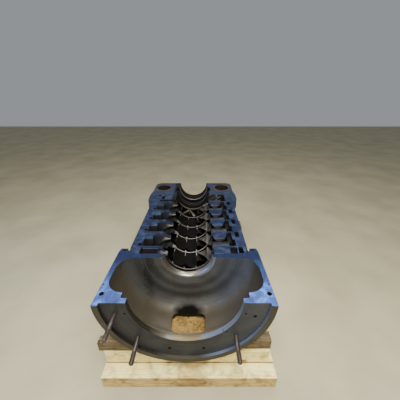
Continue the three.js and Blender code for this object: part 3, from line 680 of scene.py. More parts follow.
    # oily black with painted shade that swallows the light in bored holes
    DARK_BORE = CastIron("oily_shaded_bore", "#100f0f", "#080808", "#120e0a", 0.2, 4.0, 0.75, 0.0)
    # smooth brown-grey bar with faint streaks
    STUD = TwoToned("oiled_stud_steel", "#6a5f5a", "#3c3430", Noise(8.0, 3.0, (1.0, 0.12, 1.0)), 0.38, 0.8)
    # fresh yellow wood, the warmest and lightest thing in view, browner in the middle
    NEW_PINE = SawnTimber("new_sawn_pine", "#fff2a8", "#f2cc74", "#8a5526", "#5f4a24", 0.5,
                          shifts=(Shift("#8a6426", "X", -170.0, 40.0, 0.6, (60.0, 200.0), 80.0),))
    # the same wood with painted shade, for its front side
    PINE_FACE = SawnTimber("new_pine_face", "#dcbe78", "#a4824a", "#6e431c", "#4a3718", 0.7,
                           shifts=(Shift("#6a4a1e", "X", -200.0, 20.0, 0.5, (60.0, 240.0), 60.0),))
    # brown planks darkened with painted shade, with a wild grain
    SHADE_PINE = SawnTimber("shaded_pine", "#8f7440", "#4d3818", "#402810", "#2a1e0e", 0.7, 34.0, 0.7, 0.45,
                            2.6)
    # a thin dark line between plank and beam: the plank's painted shadow, with dirt in the joint
    JOINT_DIRT = SawnTimber("shade_and_dirt_in_timber_joint", "#4a3820", "#2e2212", "#1c140a", "#140e08", 0.6)
    # grey, dry old wood
    OLD_WOOD = SawnTimber("weathered_timber", "#7c6c4e", "#443a2a", "#2a2016", "#2c241a", 0.55, 8.0, 0.86)
    # plain pale ground, faintly clouded
    FLOOR = TwoToned("pale_floor", "#b0a888", "#a1997b", Noise(600.0, 5.0), 0.8, 0.0)


MADE: dict[Look, bpy.types.Material] = {}


def material_of(look: Look) -> bpy.types.Material:
    """Finds the material of a look, made once.

    Args:
        look: the look.

    Returns:
        Its material.
    """
    if look not in MADE:
        MADE[look] = look.value.material()
    return MADE[look]


# Shapes


def outlined(shape: Shape, points: Iterable[Vector]) -> tuple[list[Any], list[Any]]:
    """Draws a closed outline and returns its corners and its edges."""
    corners = [shape.verts.new(p) for p in points]
    return corners, [shape.edges.new((corners[i - 1], corners[i])) for i in range(len(corners))]


def closed(shape: Shape) -> Shape:
    """Fills a shape's open borders and turns its faces outwards.

    Args:
        shape: the shape, changed in place.

    Returns:
        The same shape.
    """
    bmesh.ops.holes_fill(shape, edges=[e for e in shape.edges if e.is_boundary], sides=0)
    bmesh.ops.recalc_face_normals(shape, faces=shape.faces)
    return shape


def half_ring(profile: Sequence[Point2], steps: int = 144) -> Shape:
    """A half ring under the split face.

    Args:
        profile: closed outline of (radius, back) points.
        steps: facets in the half turn.

    Returns:
        The closed shape.
    """
    shape = bmesh.new()
    corners, edges = outlined(shape, (DATUM.at(r, y, 0.0) for r, y in profile))
    bmesh.ops.spin(shape, geom=corners + edges, cent=DATUM.at(0, 0, 0), axis=(0, 1, 0), angle=math.pi,
                   steps=steps, use_merge=False)
    return closed(shape)


def swept(outline: Iterable[Vector], along: Vector) -> Shape:
    """A closed prism.

    Args:
        outline: its flat end.
        along: the vector that the end is pushed along.

    Returns:
        The closed shape.
    """
    shape = bmesh.new()
    face = shape.faces.new([shape.verts.new(p) for p in outline])
    pushed = bmesh.ops.extrude_face_region(shape, geom=[face])["geom"]
    bmesh.ops.translate(shape, verts=[v for v in pushed if isinstance(v, bmesh.types.BMVert)], vec=along)
    bmesh.ops.recalc_face_normals(shape, faces=shape.faces)
    return shape


def slab(outline: Iterable[Point2], low: float, high: float) -> Shape:
    """A flat plate from an (x, y) outline between two heights."""
    return swept([DATUM.at(x, y, low) for x, y in outline], Vector((0, 0, (high - low) * MM)))


def both_sides(outline: Sequence[Point2], depth: float) -> list[Shape]:
    """The plate with an (x, y) outline on the right and its mirror image on the left, the left one first."""
    mirrored = [(-x, y) for x, y in outline]
    return [slab(mirrored[::-1], -depth, 0.0), slab(outline, -depth, 0.0)]


def bar(section: Iterable[Point2], front: float, back: float) -> Shape:
    """A bar along the axis from an (x, z) section."""
    return swept([DATUM.at(x, front, z) for x, z in section], Vector((0, (back - front) * MM, 0)))


def cube(middle: Vector, size: Vector) -> Shape:
    """A plain block about a frame point.

    Args:
        middle: its middle.
        size: its size in metres.

    Returns:
        The closed shape.
    """
    shape = bmesh.new()
    bmesh.ops.create_cube(shape, size=1.0, matrix=Matrix.Translation(middle) @ Matrix.Diagonal((*size, 1.0)))
    return shape


def block(limits: Limits, y: float = 0.0, front: float = -math.inf) -> Shape:
    """A plain block between six limits.

    Args:
        limits: its low and high x, y and z.
        y: where its y counts from.
        front: it starts no further forward than this.

    Returns:
        The closed shape.
    """
    x0, x1, y0, y1, z0, z1 = limits
    y0, y1 = max(y + y0, front), y + y1
    size = Vector(((x1 - x0) * MM, (y1 - y0) * MM, (z1 - z0) * MM))
    return cube(DATUM.at((x0 + x1) / 2, (y0 + y1) / 2, (z0 + z1) / 2), size)


def loft(sections: Iterable[Sequence[Vector]]) -> Shape:
    """A closed solid through matching closed outlines, cut flat where it passes the split face.

    Args:
        sections: outlines with equal numbers of points.

    Returns:
        The closed shape.
    """
    shape = bmesh.new()
    loops = [outlined(shape, section)[1] for section in sections]
    for one, other in zip(loops, loops[1:]):
        bmesh.ops.bridge_loops(shape, edges=one + other)
    bmesh.ops.holes_fill(shape, edges=[e for e in shape.edges if e.is_boundary], sides=0)
    bmesh.ops.bisect_plane(shape, geom=shape.verts[:] + shape.edges[:] + shape.faces[:], dist=1e-6,
                           plane_co=DATUM.at(0, 0, 0), plane_no=(0, 0, 1), clear_outer=True)
    return closed(shape)


def between(keys: Sequence[Row], share: float) -> list[float]:
    """Reads a smooth curve through rows of numbers at a share of its length.

    Args:
        keys: the rows, evenly spaced along the curve.
        share: 0 at the first row, 1 at the last.

    Returns:
        The interpolated row.
    """
    place = min(max(share, 0.0), 1.0) * (len(keys) - 1)
    at = min(int(place), len(keys) - 2)
    t = place - at
    rows = [keys[max(at - 1, 0)], keys[at], keys[at + 1], keys[min(at + 2, len(keys) - 1)]]
    return [0.5 * (2 * b + (c - a) * t + (2 * a - 5 * b + 4 * c - d) * t * t
                   + (3 * b - a - 3 * c + d) * t ** 3) for a, b, c, d in zip(*rows)]


def ramped(value: float, start: float, length: float) -> float:
    """How far a value has come from a start over a length, kept between 0 and 1."""
    return min(max((value - start) / length, 0.0), 1.0)


def curved_plate(place: Callable[[float, float], Vector], across: int, along: int, thick: float) -> Shape:
    """A thin curved plate: a grid laid out by a function of its two shares, then thickened.

    Args:
        place: gives the frame point for the shares across and along.
        across: divisions across.
        along: divisions along.
        thick: thickness in millimetres.

    Returns:
        The closed shape.
    """
    shape = bmesh.new()
    bmesh.ops.create_grid(shape, x_segments=across, y_segments=along, size=0.5)
    for corner in shape.verts:
        corner.co = place(corner.co.x + 0.5, corner.co.y + 0.5)
    bmesh.ops.solidify(shape, geom=shape.faces[:], thickness=thick * MM)
    bmesh.ops.recalc_face_normals(shape, faces=shape.faces)
    return shape


def merged(shapes: Iterable[Shape]) -> Shape:
    """Gathers separate closed shapes in one.

    Args:
        shapes: the shapes, freed here.

    Returns:
        One shape with all of them.
    """
    whole = bmesh.new()
    for shape in shapes:
        holder = bpy.data.meshes.new("part")
        shape.to_mesh(holder)
        shape.free()
        whole.from_mesh(holder)
        bpy.data.meshes.remove(holder)
    return whole


class Axis(Enum):
    """Which way a round bar or hole runs."""

    BACK = Matrix.Rotation(math.pi / 2, 4, "X")
    UP = Matrix.Identity(4)


def rod(radius: float, middle: Vector, length: float, axis: Axis, sides: int) -> Shape:
    """A round bar.

    Args:
        radius: in millimetres.
        middle: the frame point in its middle.
        length: in millimetres.
        axis: which way it runs.
        sides: its facets.

    Returns:
        The closed shape.
    """
    shape = bmesh.new()
    bmesh.ops.create_cone(shape, cap_ends=True, segments=sides, radius1=radius * MM, radius2=radius * MM,
                          depth=length * MM, matrix=Matrix.Translation(middle) @ axis.value)
    return shape


def as_object(name: str, shape: Shape, look: Look | None = None) -> Piece:
    """Puts a shape in the scene as an object at the origin.

    Args:
        name: the object's name.
        shape: the shape, freed here.
        look: its look, if it has one yet.

    Returns:
        The object.
    """
    mesh = bpy.data.meshes.new(name)
    shape.to_mesh(mesh)
    shape.free()
    if look:
        mesh.materials.append(material_of(look))
    piece = bpy.data.objects.new(name, mesh)
    bpy.context.scene.collection.objects.link(piece)
    return piece


class Join(Enum):
    """How a second shape acts on the first."""

    CUT = "DIFFERENCE"
    ADD = "UNION"
    SHARE = "INTERSECT"


def combine(piece: Piece, how: Join, others: Iterable[Shape], look: Look | None = None) -> None:
    """Cuts shapes from a piece or adds them to it, and keeps the result as its mesh.

    Args:
        piece: the object to change.
        how: cut, add or keep the shared part.
        others: the shapes that cut it or join it.
        look: the look that the shapes leave on the piece.
    """
    helpers = [as_object("helper", other, look) for other in others]
    for helper in helpers:
        boolean = piece.modifiers.new("join", "BOOLEAN")
        boolean.operation = how.value
        boolean.solver = "EXACT"
        boolean.material_mode = "TRANSFER"
        boolean.object = helper
    bpy.context.view_layer.update()
    done = bpy.data.meshes.new_from_object(piece.evaluated_get(bpy.context.evaluated_depsgraph_get()))
    piece.modifiers.clear()
    piece.data = done
    for helper in helpers:
        bpy.data.objects.remove(helper)


ANY: Span = (-math.inf, math.inf)


@dataclass(frozen=True)
class Zone:
    """Faces that take a look, by where their middle lies in millimetres and where they point."""

    look: Look
    x: Span = ANY
    back: Span = ANY
    height: Span = ANY
    radius: Span = ANY  # from the machine axis
    turn: Span = ANY  # degrees about the axis from the bottom
    points_back: Span = ANY  # 1 is straight back, -1 straight to the front
    points_up: Span = ANY

    def holds(self, centre: Vector, normal: Vector) -> bool:
        """Tells whether a face lies in the zone.

        Args:
            centre: the face's middle.
            normal: where it points.

        Returns:
            True if every measure is in its span.
        """
        height = centre.z - DATUM.split
        measures = ((self.x, centre.x / MM), (self.back, (centre.y - DATUM.rim) / MM),
                    (self.height, height / MM), (self.radius, math.hypot(centre.x, height) / MM),
                    (self.turn, math.degrees(math.atan2(centre.x, -height))),
                    (self.points_back, normal.y), (self.points_up, normal.z))
        return all(low < value < high for (low, high), value in measures)


def split_face(look: Look, x: Span = ANY) -> Zone:
    """The faces that lie in the split face."""
    return Zone(look, x=x, height=(-0.6, 0.6), points_up=(0.9, math.inf))


WELD = 0.00002  # corners closer than this are one
SMOOTH_UNDER = math.radians(32)
SOFTEN_OVER = math.radians(35)
OPEN_ANGLE = 3.0  # what an edge with a single face counts as, in radians
SOFT_STEPS = 2


def finish_piece(piece: Piece, slot: str, replaced: Sequence[str] = (), zones: Sequence[Zone] = (),
                 edge_mm: float = 1.0) -> None:
    """Shades, paints and bevels a finished piece, attaches it to the root body and hides the CAD nodes it
    stands for.

    Args:
        piece: the object.
        slot: the record's material slot; not used.
        replaced: CAD nodes it stands for.
        zones: faces that take another look, the last match wins.
        edge_mm: width of the softened edges.
    """
    shape = bmesh.new()
    shape.from_mesh(piece.data)
    bmesh.ops.remove_doubles(shape, verts=shape.verts, dist=WELD)
    for edge in shape.edges:
        edge.smooth = edge.calc_face_angle(OPEN_ANGLE) < SMOOTH_UNDER
    for zone in zones:
        material = material_of(zone.look)
        if material.name not in piece.data.materials:
            piece.data.materials.append(material)
        number = piece.data.materials.find(material.name)
        for face in shape.faces:
            if zone.holds(face.calc_center_median(), face.normal):
                face.material_index = number
    for face in shape.faces:
        face.smooth = True
    shape.to_mesh(piece.data)
    shape.free()
    if edge_mm:
        bevel = piece.modifiers.new("edges", "BEVEL")
        bevel.width = edge_mm * MM
        bevel.segments = SOFT_STEPS
        bevel.limit_method = "ANGLE"
        bevel.angle_limit = SOFTEN_OVER
    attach(piece, "root")
    if replaced:
        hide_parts(*replaced)
    log.info("%s: %d faces", piece.name, len(piece.data.polygons))


def quarter(x: float, y: float, radius: float, start: float, steps: int) -> list[Point2]:
    """A quarter circle's points about a middle, against the clock from a start in degrees."""
    turns = [math.radians(start + 90 * i / steps) for i in range(steps + 1)]
    return [(x + radius * math.cos(t), y + radius * math.sin(t)) for t in turns]


# Sub-assemblies


@dataclass
class EndCasting:
    """The front ring, the annular chamber behind it and the flanges beside it, one casting."""

    rim_radius: float = 500.0
    rim_inner: float = 465.0
    face_back: float = 18.0
    lip_radius: float = 321.0
    lip_back: float = 50.0
    lip_slope: float = 2.0
    step_radius: float = 358.0
    mouth_radius: float = 364.0
    mouth_depth: float = 105.0
    chamber_front: float = 90.0
    chamber_radius: float = 467.0
    chamber_back: float = 383.0
    corner: float = 95.0
    corner_steps: int = 12
    shell_radius: float = 488.0
    rest_back: float = 155.0
    rest_slope: float = 12.0
    tail: Point2 = (30.0, 60.0)  # how far the shell draws in, over what length
    section_back: float = 430.0
    bore_lip: float = 190.0
    lip_seat: float = 4.0
    # the rear wall's turned steps, outwards: radius, back from the chamber's rear
    steps: Sequence[Point2] = ((223, 3.6), (226, 2.2), (259, 1.2), (262, 2.2), (303, 0.8), (306, -0.2),
                               (340, -0.6), (344, 0.6))
    # radii of the painted highlight lines on the rear wall's steps
    step_lines: Row = (223.0, 259.0, 303.0)
    step_width: float = 3.0
    flange_depth: float = 70.0
    # the right flange from above with its rear lugs and V slot: x, back
    flange: Sequence[Point2] = ((486, 50), (500, 50), (500, 450), (492, 488), (443, 488), (434, 438),
                                (424, 488), (424, 429), (372, 429), (392, 410), (440, 360), (474, 280),
                                (480, 200), (474, 130))
    port_half: float = 121.0
    port_reach: Span = (158.0, 306.0)
    port_depth: Span = (-540.0, -380.0)
    port_corner: float = 42.0
    # holes in the ring face: circle, angle, hole radius, length, facets
    face_holes: Sequence[Row] = ((403, -15, 10, 46, 24), (403, 15, 10, 46, 24), (403, 75, 10, 46, 24),
                                 (346, -76, 6, 30, 16), (336, 45, 6, 30, 16), (346, 76, 6, 30, 16))
    face_holes_back: float = 20.0
    # holes in both flanges, the dowel hole first: radius, x, back, length, facets
    flange_holes: Sequence[Row] = ((14, 472, 80, 110, 28), (9, 466, 468, 100, 20), (5, 450, 462, 60, 14),
                                   (5, 489, 150, 16, 14))
    odd_hole: Row = (6, 327, 410, 60, 14)

    def cavity(self) -> list[Point2]:
        """Rounds the chamber's section, from its front wall to its rear wall.

        Returns:
            Points by radius and back.
        """
        turns = [i / self.corner_steps * math.pi / 2 for i in range(self.corner_steps + 1)]
        front = [(self.mouth_radius + (self.chamber_radius - self.mouth_radius) * math.sin(t),
                  self.chamber_front + self.mouth_depth * (1 - math.cos(t))) for t in turns]
        rear = [(self.chamber_radius - self.corner * (1 - math.cos(t)),
                 self.chamber_back - self.corner * (1 - math.sin(t))) for t in turns]
        return front + rear

    def port(self) -> Shape:
        """Shapes the oblong port in the chamber floor.

        Returns:
            The shape that cuts it.
        """
        front, back = self.port_reach
        middle, half = (front + back) / 2, (back - front) / 2 - self.port_corner
        outline = []
        for side, end, start in ((1, 1, 0), (-1, 1, 90), (-1, -1, 180), (1, -1, 270)):
            outline += quarter(side * (self.port_half - self.port_corner), middle + end * half,
                               self.port_corner, start, 6)
        return slab(outline, *self.port_depth)

    def profile(self) -> list[Point2]:
        """Draws the whole section of ring, shell and chamber.

        Returns:
            Points by radius and back.
        """
        draw_in, tail = self.tail
        steps = [(radius, self.chamber_back + back) for radius, back in self.steps]
        return [(self.lip_radius, self.face_back), (self.rim_inner, self.face_back), (self.rim_inner, 0.0),
                (self.rim_radius, 0.0), (self.rim_radius, self.rest_back),
                (self.shell_radius, self.rest_back + self.rest_slope),
                (self.shell_radius, self.section_back - tail),
                (self.shell_radius - draw_in, self.section_back),
                (self.bore_lip + JOINT, self.section_back),
                (self.bore_lip + JOINT, self.chamber_back + self.lip_seat),
                *steps, *reversed(self.cavity()), (self.step_radius, self.chamber_front),
                (self.step_radius, self.lip_back + self.lip_slope), (self.lip_radius, self.lip_back)]

    def holes(self) -> list[Shape]:
        """Shapes the floor port, tapped holes in the ring face and dowel holes in the flanges.

        Returns:
            The shapes that cut them.
        """
        cutters = [self.port()]
        for circle, angle, radius, length, sides in self.face_holes:
            middle = DATUM.on_ring(circle, angle, self.face_holes_back)
            cutters.append(rod(radius, middle, length, Axis.BACK, sides))
        upright = [(-1, hole) for hole in self.flange_holes] + [(1, hole) for hole in self.flange_holes]
        for side, (radius, x, y, length, sides) in upright + [(1, self.odd_hole)]:
            cutters.append(rod(radius, DATUM.at(side * x, y, 0), length, Axis.UP, sides))
        return cutters

    def build(self) -> None:
        """Builds, cuts and paints the casting."""
        piece = as_object("end_casting", half_ring(self.profile()), Look.CASTING)
        combine(piece, Join.ADD, both_sides(self.flange, self.flange_depth), Look.CASTING)
        combine(piece, Join.CUT, self.holes(), Look.PASSAGE)
        level = (-0.5, 0.5)
        edges = [(low, low + self.step_width) for low in self.step_lines]
        finish_piece(
            piece, "chamber_iron",
            ["front_ring_flange", "chamber_shell", "chamber_rear_wall", "front_split_flange_left",
             "front_split_flange_right"],
            [Zone(Look.CHAMBER, radius=(0, self.chamber_radius + 3), back=(51, self.section_back - 5)),
             Zone(Look.RING_FACE, back=(-math.inf, self.face_back + 2), points_back=(-math.inf, -0.8)),
             Zone(Look.RIM, radius=(self.rim_inner - 1, math.inf), back=(-math.inf, self.face_back - 1)),
             Zone(Look.BRIGHT, radius=(0, self.lip_radius + 1), back=(-math.inf, self.lip_back + 1),
                  points_back=level),
             # the rim's inner step in the bright look: turned metal whose pale blue on the right is a painted
             # highlight along the rim's edge
             Zone(Look.BRIGHT, radius=(self.rim_inner - 1.5, self.rim_inner + 1.5),
                  back=(-math.inf, self.face_back + 1), points_back=level),
             *(Zone(Look.STEP_EDGE, radius=edge, back=(self.chamber_back - 2, math.inf)) for edge in edges),
             split_face(Look.SPLIT_FACE)], 1.5)


@dataclass
class BoreLip:
    """The bright rounded ring where the chamber meets the stages."""

    inner: float = 165.0
    outer: float = 190.0
    front: float = 387.0
    back: float = 430.0
    mouth: float = 30.0
    mouth_steps: int = 10

    def build(self) -> None:
        """Builds the ring with its rounded mouth, fuller than a quarter circle."""
        profile = [(self.outer, self.back), (self.outer, self.front)]
        for i in range(1, self.mouth_steps + 1):
            turn = i / self.mouth_steps * math.pi / 2
            profile.append((self.outer - (self.outer - self.inner) * math.sin(turn) ** 1.3,
                            self.front + self.mouth * (1 - math.cos(turn)) ** 1.2))
        profile.append((self.inner, self.back))
        piece = as_object("bore_lip", half_ring(profile), Look.LIP)
        finish_piece(piece, "turned_iron", ["bore_lip_ring"], [split_face(Look.SPLIT_FACE)], 0.8)


@dataclass
class StageSection:
    """The stage walls with their vanes and liners, between the chamber and the seal."""

    first: float = 455.0
    pitch: float = 195.0
    count: int = 6
    steps: int = 96
    bore: float = 165.0
    first_front: float = 431.0  # nothing of the first wall reaches further forward
    behind: float = 66.0  # of the others nothing lies nearer than this to the wall before
    # a wall's section, thin at the bore and leaning forward there: radius, back
    section: Sequence[Point2] = ((165, -5), (179, -3), (226, 46), (352, 46), (352, 64), (218, 64), (173, 12),
                                 (165, 5))
    vane_angles: Row = (-76, -46, -13, 18, 49, 79)
    vane_radii: Span = (174.0, 348.0)
    vane_lean: float = 14.0  # degrees that a vane leans over
    vane_run: float = 135.0  # for each stretch outwards
    vane_half: float = 6.0
    vane_cuts: int = 7
    vane_span: Span = (-220.0, 80.0)
    # the field that the vanes fill: radius, back
    vane_field: Sequence[Point2] = ((175, -107), (200, -75), (270, -40), (344, -40), (344, 52), (226, 52),
                                    (175, 3))
    # guide blades: angle, back of the front edge and of the rear edge from the wall
    guide: Sequence[Row] = ((17, -4, 0), (28, -38, -8), (40, -84, -16), (50, -130, -28), (57, -172, -40),
                            (62, -198, -46), (70, -235, -100), (80, -275, -170), (88, -302, -228))
    guide_front: float = 432.0
    guide_flat: Point2 = (50.0, 8.0)  # the angle where it turns flat, and over how many degrees
    guide_lean: Point2 = (66.0, 20.0)  # the same for where it leans out towards the ramp
    guide_flare: float = 15.0  # how far its top leans out
    # chevrons at the last wall: angle, back, reach away from the bore
    chevrons: Sequence[Sequence[Row]] = (
        ((-15, -6, 14), (-10, -50, 14), (-5, -94, 12), (0, -138, 10), (4, -176, 8)),
        ((-15, -6, 12), (-22, -50, 9), (-29, -94, 7), (-36, -138, 6), (-42, -176, 5)),
        ((22, -8, 30), (28, -36, 34), (34, -70, 32), (40, -104, 24), (46, -140, 14)))
    # the right ramp behind each wall: x, back of its top edge; then its underside: back, z
    ramp: Sequence[Point2] = ((176, 38), (205, 51), (238, 69), (270, 85), (303, 100))
    ramp_under: Sequence[Point2] = ((168, -64), (48, -34), (34, -6))
    ramp_shares: Row = (0.0, 0.12, 0.26, 0.42, 0.6, 0.8, 1.0)
    ramp_back: float = 168.0
    ramp_drop: float = 36.0
    just_under: float = -0.8  # height of slopes that start just under the split face
    # the flat land on the right, first of the first wall and then of the others: back, left x, right x
    first_land: Sequence[Row] = ((-24, 188, 296), (-19, 183, 301), (50, 181, 303))
    other_land: Sequence[Row] = ((-34, 196, 274), (-29, 189, 282), (10, 184, 292), (50, 179, 308))
    land_deep: float = 31.0
    land_points: int = 15
    land_nose: float = 4.0  # how far its front edge is worn down
    # the bright blade that rises from the bore behind the last wall's guides: x, back, z
    last_blade: Sequence[Row] = ((112, -2, -121), (136, -14, -100), (176, -34, -70), (222, -42, -44),
                                 (266, -32, -20), (308, 8, -3))
    # the rounded vane on the left: x, back, z, half width along the axis, half thickness
    hump: Sequence[Row] = ((-112, 2, -119, 7, 4), (-132, -8, -96, 17, 9), (-156, -24, -72, 30, 15),
                           (-186, -44, -52, 40, 21), (-222, -62, -62, 44, 27), (-262, -70, -104, 44, 32),
                           (-300, -72, -165, 40, 34))
    hump_points: int = 14
    # the wing on the left: x, front edge back, front edge z, rear edge back, rear edge z, depth
    wing: Sequence[Row] = ((-150, -44, -2, 10, 4, 12), (-178, -46, -3, 24, 4, 20),
                           (-205, -50, -10, 44, 4, 34), (-232, -66, -34, 48, 2, 46),
                           (-258, -82, -70, 50, 1, 60), (-280, -88, -112, 50, -2, 70),
                           (-302, -88, -156, 50, -6, 80))
    wing_shares: Row = (0.0, 0.12, 0.28, 0.45, 0.62, 0.8, 1.0)
    cuts: int = 12  # parts a wing or a rounded vane is divided in
    # the first wall's worn tongue on the left: x, front back, rear back, z, depth
    first_tip: Sequence[Row] = ((-150, -24, 8, -3, 14), (-182, -25, 15, -3, 20), (-211, -22, 24, -6, 30),
                                (-236, -6, 46, -22, 40))
    # prisms across the left side, by back and z, and how far they reach in x
    first_band: Sequence[Point2] = ((64, -0.8), (34, -5), (30, -60), (64, -60))
    first_band_reach: Span = (-340, -196)
    left_fill: Sequence[Point2] = ((64, -0.8), (-10, -4), (-24, -14), (-32, -44), (-32, -80), (64, -80))
    left_fill_reach: Span = (-351.7, -292)
    # blocks beside a wall, their y counted from it
    right_fill: Limits = (303, 351, -50, 50, -70, -34)
    first_floor: Limits = (-340, -222, -8, 50, -90, -52)
    right_edge: Limits = (336, 351.7, -52, 52, -70, 0)
    last_plate: Limits = (-351, -182, -92, 52, -40, 0)
    last_slot: Limits = (-338, -306, -76, -2, -60, 10)
    # the band behind the bore lip: its first angle and how far round it goes, its front and how far back
    band_turn: Point2 = (19.0, 68.0)
    band_back: Point2 = (427.0, 24.0)
    liner_stages: Sequence[int] = (1, 2, 3, 4)
    liner_end: float = 8.0  # how far before a wall the liner plates end
    # the liner plates' first angle and how far round they go, and how far behind a wall they start
    left_turn: Point2 = (-45.0, 31.0)
    left_start: Point2 = (12.0, 38.0)
    middle_turn: Point2 = (-12.0, 29.0)
    middle_start: Point2 = (14.0, 46.0)
    left_radius: Point2 = (171.0, 2.0)  # at its sides, and how much more between them
    middle_radius: float = 169.0
    middle_bend: float = 0.62  # share of the middle plate that keeps to the bore
    bend_slope: float = 62.0
    rib_angles: Row = (-46, -13, 18)
    # faces that are painted apart
    rubbed_turn: Span = (-62.0, 63.0)
    slope_x: float = -265.0
    slope_low: float = -12.0
    worn_x: Span = (-206.0, -140.0)  # the worn tips beside the bore on the left stay unpainted

    def wall_at(self, number: int) -> float:
        """Where a wall's bore edge lies along the axis."""
        return self.first + self.pitch * number

    def vane_section(self, angle: float) -> list[Point2]:
        """A cambered vane's outline.

        Args:
            angle: where it stands at the bore, in degrees.

        Returns:
            Points in x and z, out along one side and back along the other.
        """
        one_side, other_side = [], []
        inner, outer = self.vane_radii
        for i in range(self.vane_cuts + 1):
            radius = inner + (outer - inner) * i / self.vane_cuts
            turn = angle + self.vane_lean * (radius - self.bore) / self.vane_run
            spread = math.degrees(self.vane_half / radius)
            one_side.append(around(radius, turn - spread))
            other_side.append(around(radius, turn + spread))
        return one_side + other_side[::-1]

    def vanes(self, y: float, front: float, angles: Row) -> Shape:
        """The wall's vanes, trimmed to their field.

        Args:
            y: where the wall is.
            front: they reach no further forward than this.
            angles: where they stand.

        Returns:
            All vanes in one shape.
        """
        reach = [(radius, max(front, y + back)) for radius, back in self.vane_field]
        start, end = (y + limit for limit in self.vane_span)
        vanes = as_object("vanes", merged(bar(self.vane_section(angle), start, end) for angle in angles))
        combine(vanes, Join.SHARE, [half_ring(reach, self.steps)])
        shape = bmesh.new()
        shape.from_mesh(vanes.data)
        bpy.data.objects.remove(vanes)
        return shape

    def build_stage(self, number: int) -> None:
        """One wall with its vanes, the wings on its left and the flat land on its right.

        Args:
            number: which wall, from 0 in front.
        """
        y = self.wall_at(number)
        opening, last = number == 0, number == self.count - 1
        front = self.first_front if opening else y - self.pitch + self.behind
        angles = self.vane_angles if last or opening else self.vane_angles[:-1]
        add, cut = Join.ADD, Join.CUT
        section = [(radius, y + back) for radius, back in self.section]
        piece = as_object(f"stage_{number + 1}", half_ring(section, self.steps), Look.PASSAGE)
        steps = [(add, [self.vanes(y, front, angles)], Look.PASSAGE)]
        if not last:
            land = self.first_land if opening else self.other_land
            steps += [(add, [self.land_shape(y, land)], Look.LENS), (add, [self.ramp_shape(y)], Look.RAMP),
                      (add, [block(self.right_fill, y, front)], Look.RECESS)]
        if opening:
            steps += [(add, [self.tip_shape(y)], Look.WING),
                      (add, [self.across(self.first_band, self.first_band_reach, y)], Look.PASSAGE),
                      (add, [block(self.first_floor, y)], Look.PASSAGE)]
        elif not last:
            steps += [(add, [block(self.right_edge, y)], Look.RECESS),
                      (add, [self.across(self.left_fill, self.left_fill_reach, y)], Look.PASSAGE),
                      (add, [self.wing_shape(y)], Look.WING), (add, [self.hump_shape(y)], Look.HUMP)]
        else:
            steps += [(add, [block(self.last_plate, y)], Look.PASSAGE),
                      (cut, [block(self.last_slot, y)], Look.DARK_BORE),
                      (add, [self.blade_shape(y)], Look.LAST_BLADE)]
        if not opening:
            steps.append((add, [self.guide_shape(y)], Look.GUIDE))
        if last:
            steps.append((add, [self.chevron_shape(y, path) for path in self.chevrons], Look.CHEVRON))
        for how, shapes, look in steps:
            combine(piece, how, shapes, look)
        finish_piece(
            piece, "stage_iron", [f"stage_wall_{number + 1}"],
            [Zone(Look.VANE_EDGE, radius=(0, self.bore + 1.5), turn=self.rubbed_turn),
             Zone(Look.PASTED_SLOPE, x=(-math.inf, self.slope_x), height=(self.slope_low, math.inf),
                  points_up=(0.7, math.inf)),
             split_face(Look.STAGE_FACE, (-math.inf, self.worn_x[0])),
             split_face(Look.STAGE_FACE, (self.worn_x[1], math.inf))], 0.8)

    def land_shape(self, y: float, rows: Sequence[Row]) -> Shape:
        """The lens of a cut vane that shows as a flat land on the right, wider at its rear.

        Args:
            y: where the wall is.
            rows: back, left and right of each section.

        Returns:
            The closed shape.
        """
        sections = []
        for i, (back, left, right) in enumerate(rows):
            drop = self.land_nose if i == 0 else 0.0
            rim = 2 - drop * 1.6
            section = [DATUM.at(left, y + back, rim)]
            for j in range(self.land_points):
                share = j / (self.land_points - 1)
                depth = 1 + drop + (self.land_deep - drop) * math.sin(math.pi * share) ** 0.7
                section.append(DATUM.at(left + (right - left) * share, y + back, -depth))
            sections.append(section + [DATUM.at(right, y + back, rim)])
        return loft(sections)

    def ramp_shape(self, y: float) -> Shape:
        """The hollow slope behind a wall on the right, from the split face down under the next land.

        Args:
            y: where the wall is.

        Returns:
            The closed shape.
        """
        sections = []
        for x, top in self.ramp:
            run = self.ramp_back - top
            slope = [DATUM.at(x, y + top + run * t, self.just_under - self.ramp_drop * t ** 1.4)
                     for t in self.ramp_shares]
            sections.append(slope + [DATUM.at(x, y + back, z) for back, z in self.ramp_under])
        return loft(sections)

    def blade_shape(self, y: float) -> Shape:
        """The bright curved blade at the last wall on the right.

        Args:
            y: where the wall is.

        Returns:
            The closed shape.
        """
        def place(u: float, v: float) -> Vector:
            """A point of the blade at its shares along and across."""
            x, back, z = between(self.last_blade, u)
            return DATUM.at(x + 10 * v, y + back + 38 * v, min(z - 12 * v, -5.0))
        return curved_plate(place, 24, 4, 7.0)

    def wing_shape(self, y: float) -> Shape:
        """The wing on the left: flat near the bore, then falling outwards and forwards.

        Args:
            y: where the wall is.

        Returns:
            The closed shape.
        """
        sections = []
        for i in range(self.cuts + 1):
            x, fy, fz, ry, rz, deep = between(self.wing, i / self.cuts)
            top = [DATUM.at(x, y + fy + (ry - fy) * t, fz + (rz - fz) * math.sin(t * math.pi / 2))
                   for t in self.wing_shares]
            under = [DATUM.at(x, y + ry, rz - deep - 6), DATUM.at(x, y + (fy + ry) / 2, fz - deep),
                     DATUM.at(x, y + fy + 4, fz - deep * 0.5)]
            sections.append(top + under)
        return loft(sections)

    def tip_shape(self, y: float) -> Shape:
        """The first wall's worn tip on the left, a flat tongue that reaches the bore.

        Args:
            y: where the wall is.

        Returns:
            The closed shape.
        """
        return loft([[DATUM.at(x, y + front, z), DATUM.at(x, y + (front + rear) / 2, z + 1.5),
                      DATUM.at(x, y + rear, z), DATUM.at(x, y + rear, z - deep),
                      DATUM.at(x, y + front, z - deep)] for x, front, rear, z, deep in self.first_tip])

